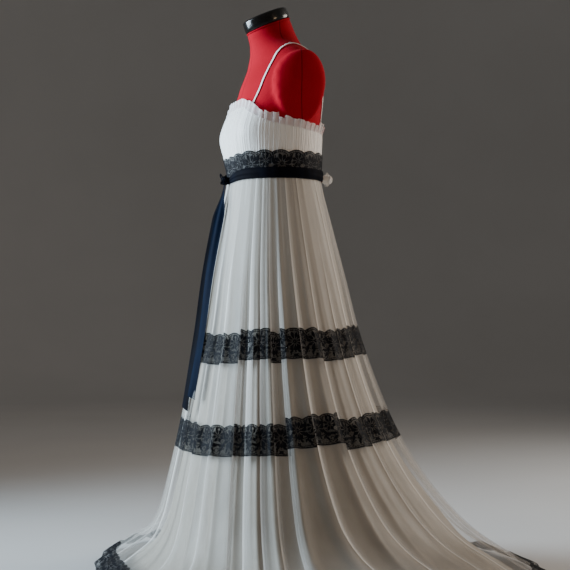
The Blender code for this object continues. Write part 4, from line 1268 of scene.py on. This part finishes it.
def buildWaistLace():
    # The same lace, narrower: its lower part goes under the sash
    span = 180 - waistLace["backGap"]
    angle = np.linspace(-span, span, waistLace["columns"])
    points = figurePoint(angle, *waistLace["middle"])
    walked = arcLength(points)
    hidden = lace["width"] - (waistLace["upper"] - waistLace["lower"])

    def lay(along, up, height):
        turn = np.interp(along, walked, angle)
        rise = up - hidden
        share = rise / (waistLace["upper"] - waistLace["lower"])
        dip = waistLace["dip"] * np.exp(-((turn / waistLace["dipSpread"]) ** 2))
        level = waistLace["lower"] + rise - dip * np.clip(share, 0, 1)
        return figurePoint(turn, level, waistLace["ease"] + height)

    return layLace("waistLace", walked[-1], lay, "lace_black", ("waist_lace",), low=hidden)


ruffle = {
    "pleats": 44,
    "span": 357,
    "height": 0.0205,
    "sunk": 0.0012,
    "inner": 0.0058,
    "stand": 0.0026,
    "flare": 0.0040,
    "lap": 5.2,
    "seed": 5,
    "rows": 7,
}


def buildRuffle():
    # Knife pleats of sheer net that stand up from the neck edge, each a little different
    dice = random.Random(ruffle["seed"])
    q = np.array((-1.0, -0.75, -0.55, -0.40, -0.2, 0.0, 0.2, 0.40, 0.55, 0.75, 1.0, 1.5, 2.2, 2.9))
    step = 360 / ruffle["pleats"]
    angles, stands, rises, leans = [], [], [], []
    for k in range(ruffle["pleats"]):
        centre = -ruffle["span"] / 2 + (k + 0.3 + dice.uniform(-0.10, 0.10)) * step * ruffle["span"] / 360
        tall = ruffle["height"] * dice.choice((0.74, 0.86, 0.94, 1.04, 1.14))
        slope = dice.uniform(-0.0016, 0.0016)
        lean = dice.uniform(-0.6, 0.6)
        wide = step * 0.17
        for place in q:
            if place <= 1.0:
                slide = 1.5 * place - ruffle["lap"] * math.sin(math.pi * place) / math.pi
                stand = float(ramp(-0.62, 0.62, place))
            else:
                slide = 1.5 + (place - 1.0) * 0.95
                stand = 1 - (place - 1.0) / 2.2
            angles.append(centre + wide * slide)
            stands.append(stand)
            rises.append(tall if place <= 0.3 and k else tall + slope * (place - 1.0))
            leans.append(lean)
    angles, stands, rises, leans = (np.array(values) for values in (angles, stands, rises, leans))
    rows = np.linspace(1, 0, ruffle["rows"])[:, None]
    angle = angles + leans * rows * 1.2
    foot = neckHeight(angles) - ruffle["sunk"]
    height = foot + rises * rows
    ease = ruffle["inner"] + ruffle["stand"] * stands * (0.25 + 0.75 * rows) + ruffle["flare"] * rows**1.6
    points = figurePoint(angle, height, ease)
    return settle(sheetPiece("neckRuffle", points, "ruffleNet"), "net", "neck_ruffle")


bodicePieces = buildBodice()
waistLacePieces = buildWaistLace()
rufflePiece = buildRuffle()
print("bodice ready")

strap = {
    "frontAngle": 34.0,
    "backAngle": 150.0,
    "overlap": 0.010,
    "lift": 0.0020,
    "width": 0.0056,
    "halfThickness": 0.0006,
    "points": 70,
    "shoulder": (0.130, 0.046, 1.36),
}


def spaced(line, count):
    walked = arcLength(line)
    at = np.linspace(0, walked[-1], count)
    return np.stack([np.interp(at, walked, line[:, axis]) for axis in range(3)], axis=1)


def buildStrap(side, surface):
    ends = (strap["frontAngle"], strap["backAngle"])
    start, end = (figurePoint(angle, neckHeight(angle) - strap["overlap"]) for angle in ends)
    t = np.linspace(0, 1, strap["points"])[:, None]
    line = start * (1 - t) ** 2 + np.array(strap["shoulder"]) * 2 * t * (1 - t) * 1.15 + end * t * t
    line = line * np.array((side, 1, 1))
    for _ in range(5):
        line = spaced(np.array([surface.find_nearest(Vector(p))[0] for p in line]), strap["points"])
    normals = unit(np.array([surface.find_nearest(Vector(p))[1] for p in line]))
    for _ in range(6):
        normals[1:-1] = unit(normals[:-2] + 2 * normals[1:-1] + normals[2:])
    ahead = unit(np.gradient(line, axis=0))
    across = unit(np.cross(ahead, normals)) * strap["width"] / 2
    rows = []
    for turn in np.linspace(0, 2 * math.pi, 17):
        q = -math.cos(turn)
        rise = strap["halfThickness"] * powered(math.sin(turn), 0.6)
        rows.append(line + across * q + normals * (strap["lift"] + rise))
    hand = "left" if side > 0 else "right"
    piece = sheetPiece(f"strap{hand.capitalize()}", np.array(rows), "whiteSatin")
    return settle(piece, "satin_white", f"strap_{hand}")


torsoSkin = BVHTree.FromObject(torso, bpy.context.evaluated_depsgraph_get())
strapPieces = [buildStrap(side, torsoSkin) for side in (1, -1)]
print("straps ready")

# Satin sash, its knot and its two ends, and the rolled rose at the back
sash = {
    "width": 0.026,
    "height": 0.985,
    "ease": 0.0118,
    "front": 0.0133,
    "knotDip": 0.011,
    "knotSpread": 20.0,
    "knotWidth": 0.016,
    "crease": 0.00050,
    "knotCrease": 0.0008,
    "creaseSpread": 16.0,
    "swell": 0.0009,
    "columns": 361,
    "rows": 13,
}


def sashMiddle(angle):
    near = np.exp(-((aroundZero(angle) / sash["knotSpread"]) ** 2))
    return sash["height"] - sash["knotDip"] * near, sash["width"] + (sash["knotWidth"] - sash["width"]) * near


def buildSash():
    # A ribbon drawn tight: soft lengthwise creases that run together into the knot
    angle = np.linspace(-180, 180, sash["columns"])[None, :]
    part = np.linspace(0.5, -0.5, sash["rows"])[:, None]
    middle, width = sashMiddle(angle)
    near = np.exp(-((angle / sash["creaseSpread"]) ** 2))
    turn = np.radians(angle)
    crease = sash["crease"] * np.sin(part * 13 + turn * 1.5) * (0.5 + 0.5 * np.sin(turn * 2.3 + 1))
    crease = crease + sash["knotCrease"] * np.sin(part * 20 + 0.4) * near
    swell = sash["swell"] * (1 - (2 * part) ** 2)
    points = figurePoint(angle, middle + part * width, sash["ease"] + swell + crease)
    return settle(sheetPiece("sashRibbon", points, "blackSatin"), "satin_black", "sash")


knot = {
    "halfWidth": 0.0100,
    "halfDepth": 0.0095,
    "halfHeight": 0.0120,
    "flatBack": 0.72,
    "flatFoot": 0.80,
    "gap": 0.0006,
    "rows": 33,
    "columns": 48,
}


def knotCentre():
    front = figurePoint(0.0, float(sashMiddle(0)[0]), sash["front"])
    return front + np.array((0, -knot["halfDepth"] * knot["flatBack"] - knot["gap"], 0))


def buildKnot():
    # The ribbon crossed over itself: a squeezed body, a wrap across it and two short pinched loops
    centre = knotCentre()
    v = np.linspace(0.02, math.pi - 0.02, knot["rows"])[:, None]
    u = np.linspace(0, 2 * math.pi, knot["columns"] + 1)[None, :-1]
    x, y, z = np.sin(v) * np.sin(u), -np.sin(v) * np.cos(u), np.cos(v) * np.ones_like(u)
    pinch = 1 - 0.20 * np.exp(-((z / 0.30) ** 2))
    pinch = pinch + 0.05 * np.cos(3 * u + 2 * z) + 0.035 * np.sin(9 * u + 5 * z)
    wrap = 1 + 0.10 * np.exp(-(((z * 0.9 + x * 0.55) / 0.26) ** 2))
    place = np.stack([x * pinch * wrap * knot["halfWidth"],
                      np.minimum(y * pinch * wrap, knot["flatBack"]) * knot["halfDepth"],
                      np.maximum(z, -knot["flatFoot"]) * knot["halfHeight"]], axis=-1)
    body = finished(bmeshObject("sashKnot", closedLoft(centre + place)), "blackSatin")
    mesh = body.data
    layer = mesh.uv_layers.new(name="cloth")
    for loop in mesh.loops:
        p = mesh.vertices[loop.vertex_index].co
        layer.data[loop.index].uv = (p.x * 1.2, p.z)
    settle(body, "satin_black", "sash_knot")
    loops = []
    for name, turn, length in (("knotLoopUpper", 118.0, 0.016), ("knotLoopLower", 205.0, 0.013)):
        t = np.linspace(0, math.pi, 21)
        sweep, aside = np.sin(t), math.sin(math.radians(turn))
        path = np.stack([
            0.004 * np.cos(t) * aside,
            -0.004 - length * 0.55 * sweep,
            length * sweep * aside + 0.0035 * np.cos(t),
        ], axis=1)
        half = 0.0055 * (0.45 + 0.55 * sweep)[None, :, None]
        side = np.array((math.cos(math.radians(20)), -0.2, 0.5))
        part = np.linspace(-1, 1, 7)[:, None, None]
        grid = centre + path[None] + side * part * half
        grid[..., 1] += 0.0015 * (part[..., 0] ** 2)
        loops.append(settle(sheetPiece(name, grid, "blackSatin"), "satin_black"))
    return body, loops


# Name, node, angle at the knot and at the tip, stand off, length, twist, finish
tails = (
    # the left end wears the navy-tinted black satin, a painted sheen
    ("sashEndLeft", "sash_tail_left", 4.1, 5.0, 0.0020, 0.520, 30.0, "blackSatinPaintedNavySheen"),
    ("sashEndRight", "sash_tail_right", -4.6, -3.4, 0.0015, 0.550, 22.0, "blackSatin"),
)
tailShape = {
    "rows": 121,
    "across": 9,
    "aside": 0.0036,
    "rootHalf": 0.0025,
    "half": 0.013,
    "curl": 0.0016,
    "clear": 0.0130,
    "slant": 0.010,
    "gap": 0.0003,
}


def buildTail(name, node, topAngle, tipAngle, standOff, length, turnBy, finish):
    # A ribbon end that leaves the knot's foot, widens and hangs down the front
    side = math.copysign(1, topAngle)
    foot = -knot["halfHeight"] * knot["flatFoot"] - tailShape["gap"]
    root = knotCentre() + np.array((side * tailShape["aside"], 0, foot))
    t = np.linspace(0, 1, tailShape["rows"])
    angle = topAngle + (tipAngle - topAngle) * t
    distance = netLevels[0, 0] - root[2] + length * t
    points, outward = smoothDrop(angle, distance)
    clear = tailShape["clear"] + standOff * np.sin(math.pi * np.minimum(t * 1.15, 1.0)) - 0.002 * t
    place = points + outward * clear[:, None]
    spread = ramp(0.0, 0.16, t)
    place = place + (root - place[0]) * (1 - spread)[:, None]
    twist = np.radians(turnBy * (1.1 + 0.35 * np.sin(5.2 * t + side))) * spread
    narrow = tailShape["rootHalf"] / tailShape["half"]
    half = tailShape["half"] * (narrow + (1 - narrow) * spread)
    across = np.stack([np.cos(twist), np.sin(twist), np.zeros_like(t)], axis=1)
    part = np.linspace(-1, 1, tailShape["across"])
    crumple = 1.0 - 0.85 * ramp(0.10, 0.5, t)
    rows = []
    for q in part:
        fold = tailShape["curl"] * (q * q - 0.4) * np.cos(3.1 * t + side)
        fold = fold + 0.0016 * np.sin(q * 4.4 + side + 2 * t) * crumple * spread
        row = place + across * (half * q)[:, None] + outward * fold[:, None]
        row[:, 2] -= tailShape["slant"] * (q + 1) / 2 * ramp(0.965, 1.0, t)
        rows.append(row)
    return settle(sheetPiece(name, np.array(rows).transpose(1, 0, 2), finish), "satin_black", node)


def smoothDrop(angle, distance):
    # Points and outward directions on the net's unfolded surface, as the solid ribbon follows it
    lines, turns = levelLines(netLevels, lambda at, last: angle + 0 * at)
    places, outs = [], []
    for k, d in enumerate(distance):
        line, a = lines[:, k], turns[0, k]
        walked = arcLength(line)
        places.append([np.interp(d, walked, line[:, axis]) for axis in range(3)])
        below = min(int(np.searchsorted(walked, d)), len(line) - 1)
        down = line[below] - line[below - 1]
        outs.append(np.cross(down / np.linalg.norm(down), (math.cos(a), math.sin(a), 0)))
    outs = unit(np.array(outs))
    for _ in range(8):
        outs[1:-1] = unit(outs[:-2] + 2 * outs[1:-1] + outs[2:])
    return np.array(places), outs


rose = {
    "radius": 0.0170,
    "depth": 0.034,
    "height": 0.985,
    "gap": 0.0008,
    "petals": 15,
    "across": 13,
    "along": 9,
}


def buildRose():
    # Folded satin petals set in a spiral, the inner ones closed and the outer ones turned back
    back = figurePoint(180.0, rose["height"], sash["front"]) + np.array((0, rose["gap"], 0))
    u = np.linspace(-1, 1, rose["across"])[None, :]
    v = np.linspace(0, 1, rose["along"])[:, None]
    grids, flat = [], []
    for k in range(rose["petals"]):
        share = k / (rose["petals"] - 1)
        turn = math.radians(137.5 * k) + u * (1.35 - 0.55 * share)
        tip = v * (1 - 0.20 * u**2 * share)
        cup = 0.22 + 0.66 * share**0.6 + 0.12 * share * tip**2
        radius = rose["radius"] * (0.22 + 0.78 * tip**0.6) * cup * (1 - 0.07 * np.cos(3 * u + k))
        curl = 0.20 * share * np.maximum(tip - 0.7, 0) / 0.3
        deep = rose["depth"] * ((0.96 - 0.34 * share) * tip**0.85 - curl * 0.55)
        radius = radius * (1 + 0.16 * curl / 0.2 * share)
        deep = deep + 0.0004 * np.sin(9 * u + k)
        grids.append(back + np.stack([-np.sin(turn) * radius, deep, np.cos(turn) * radius], axis=-1))
        flat.append(np.stack(np.broadcast_arrays(u * 0.012 + 0.03 * k, v * 0.016), axis=-1))
    piece = gridsPiece("backRose", np.array(grids), "whiteSatin", np.array(flat))
    return settle(piece, "satin_white", "back_rosette")


closure = {
    "loops": 9,
    "lower": 1.004,
    "upper": 1.076,
    "reach": 0.0042,
    "rise": 0.0022,
    "thread": 0.0006,
    "ease": 0.0078,
    "steps": 12,
    "sides": 6,
}


def buildClosure():
    # A row of small thread loops down the centre back, each from one edge to the other
    t = np.linspace(0, math.pi, closure["steps"] + 1)[:, None]
    s = np.linspace(0, 2 * math.pi, closure["sides"] + 1)[None, :-1]
    grids = []
    for k in range(closure["loops"]):
        height = closure["lower"] + (closure["upper"] - closure["lower"]) * k / (closure["loops"] - 1)
        foot = figurePoint(180.0, height, closure["ease"])
        x = closure["reach"] * np.cos(t) + closure["thread"] * np.cos(s) * np.cos(t)
        y = closure["rise"] * np.sin(t) + closure["thread"] * np.cos(s) * np.sin(t)
        z = closure["thread"] * np.sin(s) + 0.0006 * np.sin(t * 2)
        grids.append(foot + np.stack([x, y, z], axis=-1))
    grids = np.array(grids)
    piece = gridsPiece("backLoops", grids, "whiteSatin", grids[..., :2], closed=True)
    return settle(piece, "satin_white")


sashPiece = buildSash()
knotPiece, knotLoops = buildKnot()
tailPieces = [buildTail(*facts) for facts in tails]
rosePiece = buildRose()
buildClosure()
bpy.data.objects.remove(flatRepeat)
print("ribbons ready")

# Pale floor that turns up into a plain wall all round
cove = {"floorRadius": 6.5, "bend": 2.5, "wallHeight": 5.0, "segments": 96}


def buildCove():
    radius, turned = cove["floorRadius"], cove["bend"]
    profile = [(0.0, 0.0), (radius, 0.0)]
    for turn in range(6, 91, 6):
        bend = math.radians(turn)
        profile.append((radius + turned * math.sin(bend), turned * (1 - math.cos(bend))))
    profile.append((radius + turned, cove["wallHeight"]))
    turn = np.linspace(0, 2 * math.pi, cove["segments"] + 1)
    rows = [np.stack([r * np.cos(turn), r * np.sin(turn), np.full_like(turn, z)], axis=1) for r, z in profile]
    newPiece("floor", np.array(rows), gridFaces(len(rows), len(turn)), "paleFloor")


buildCove()
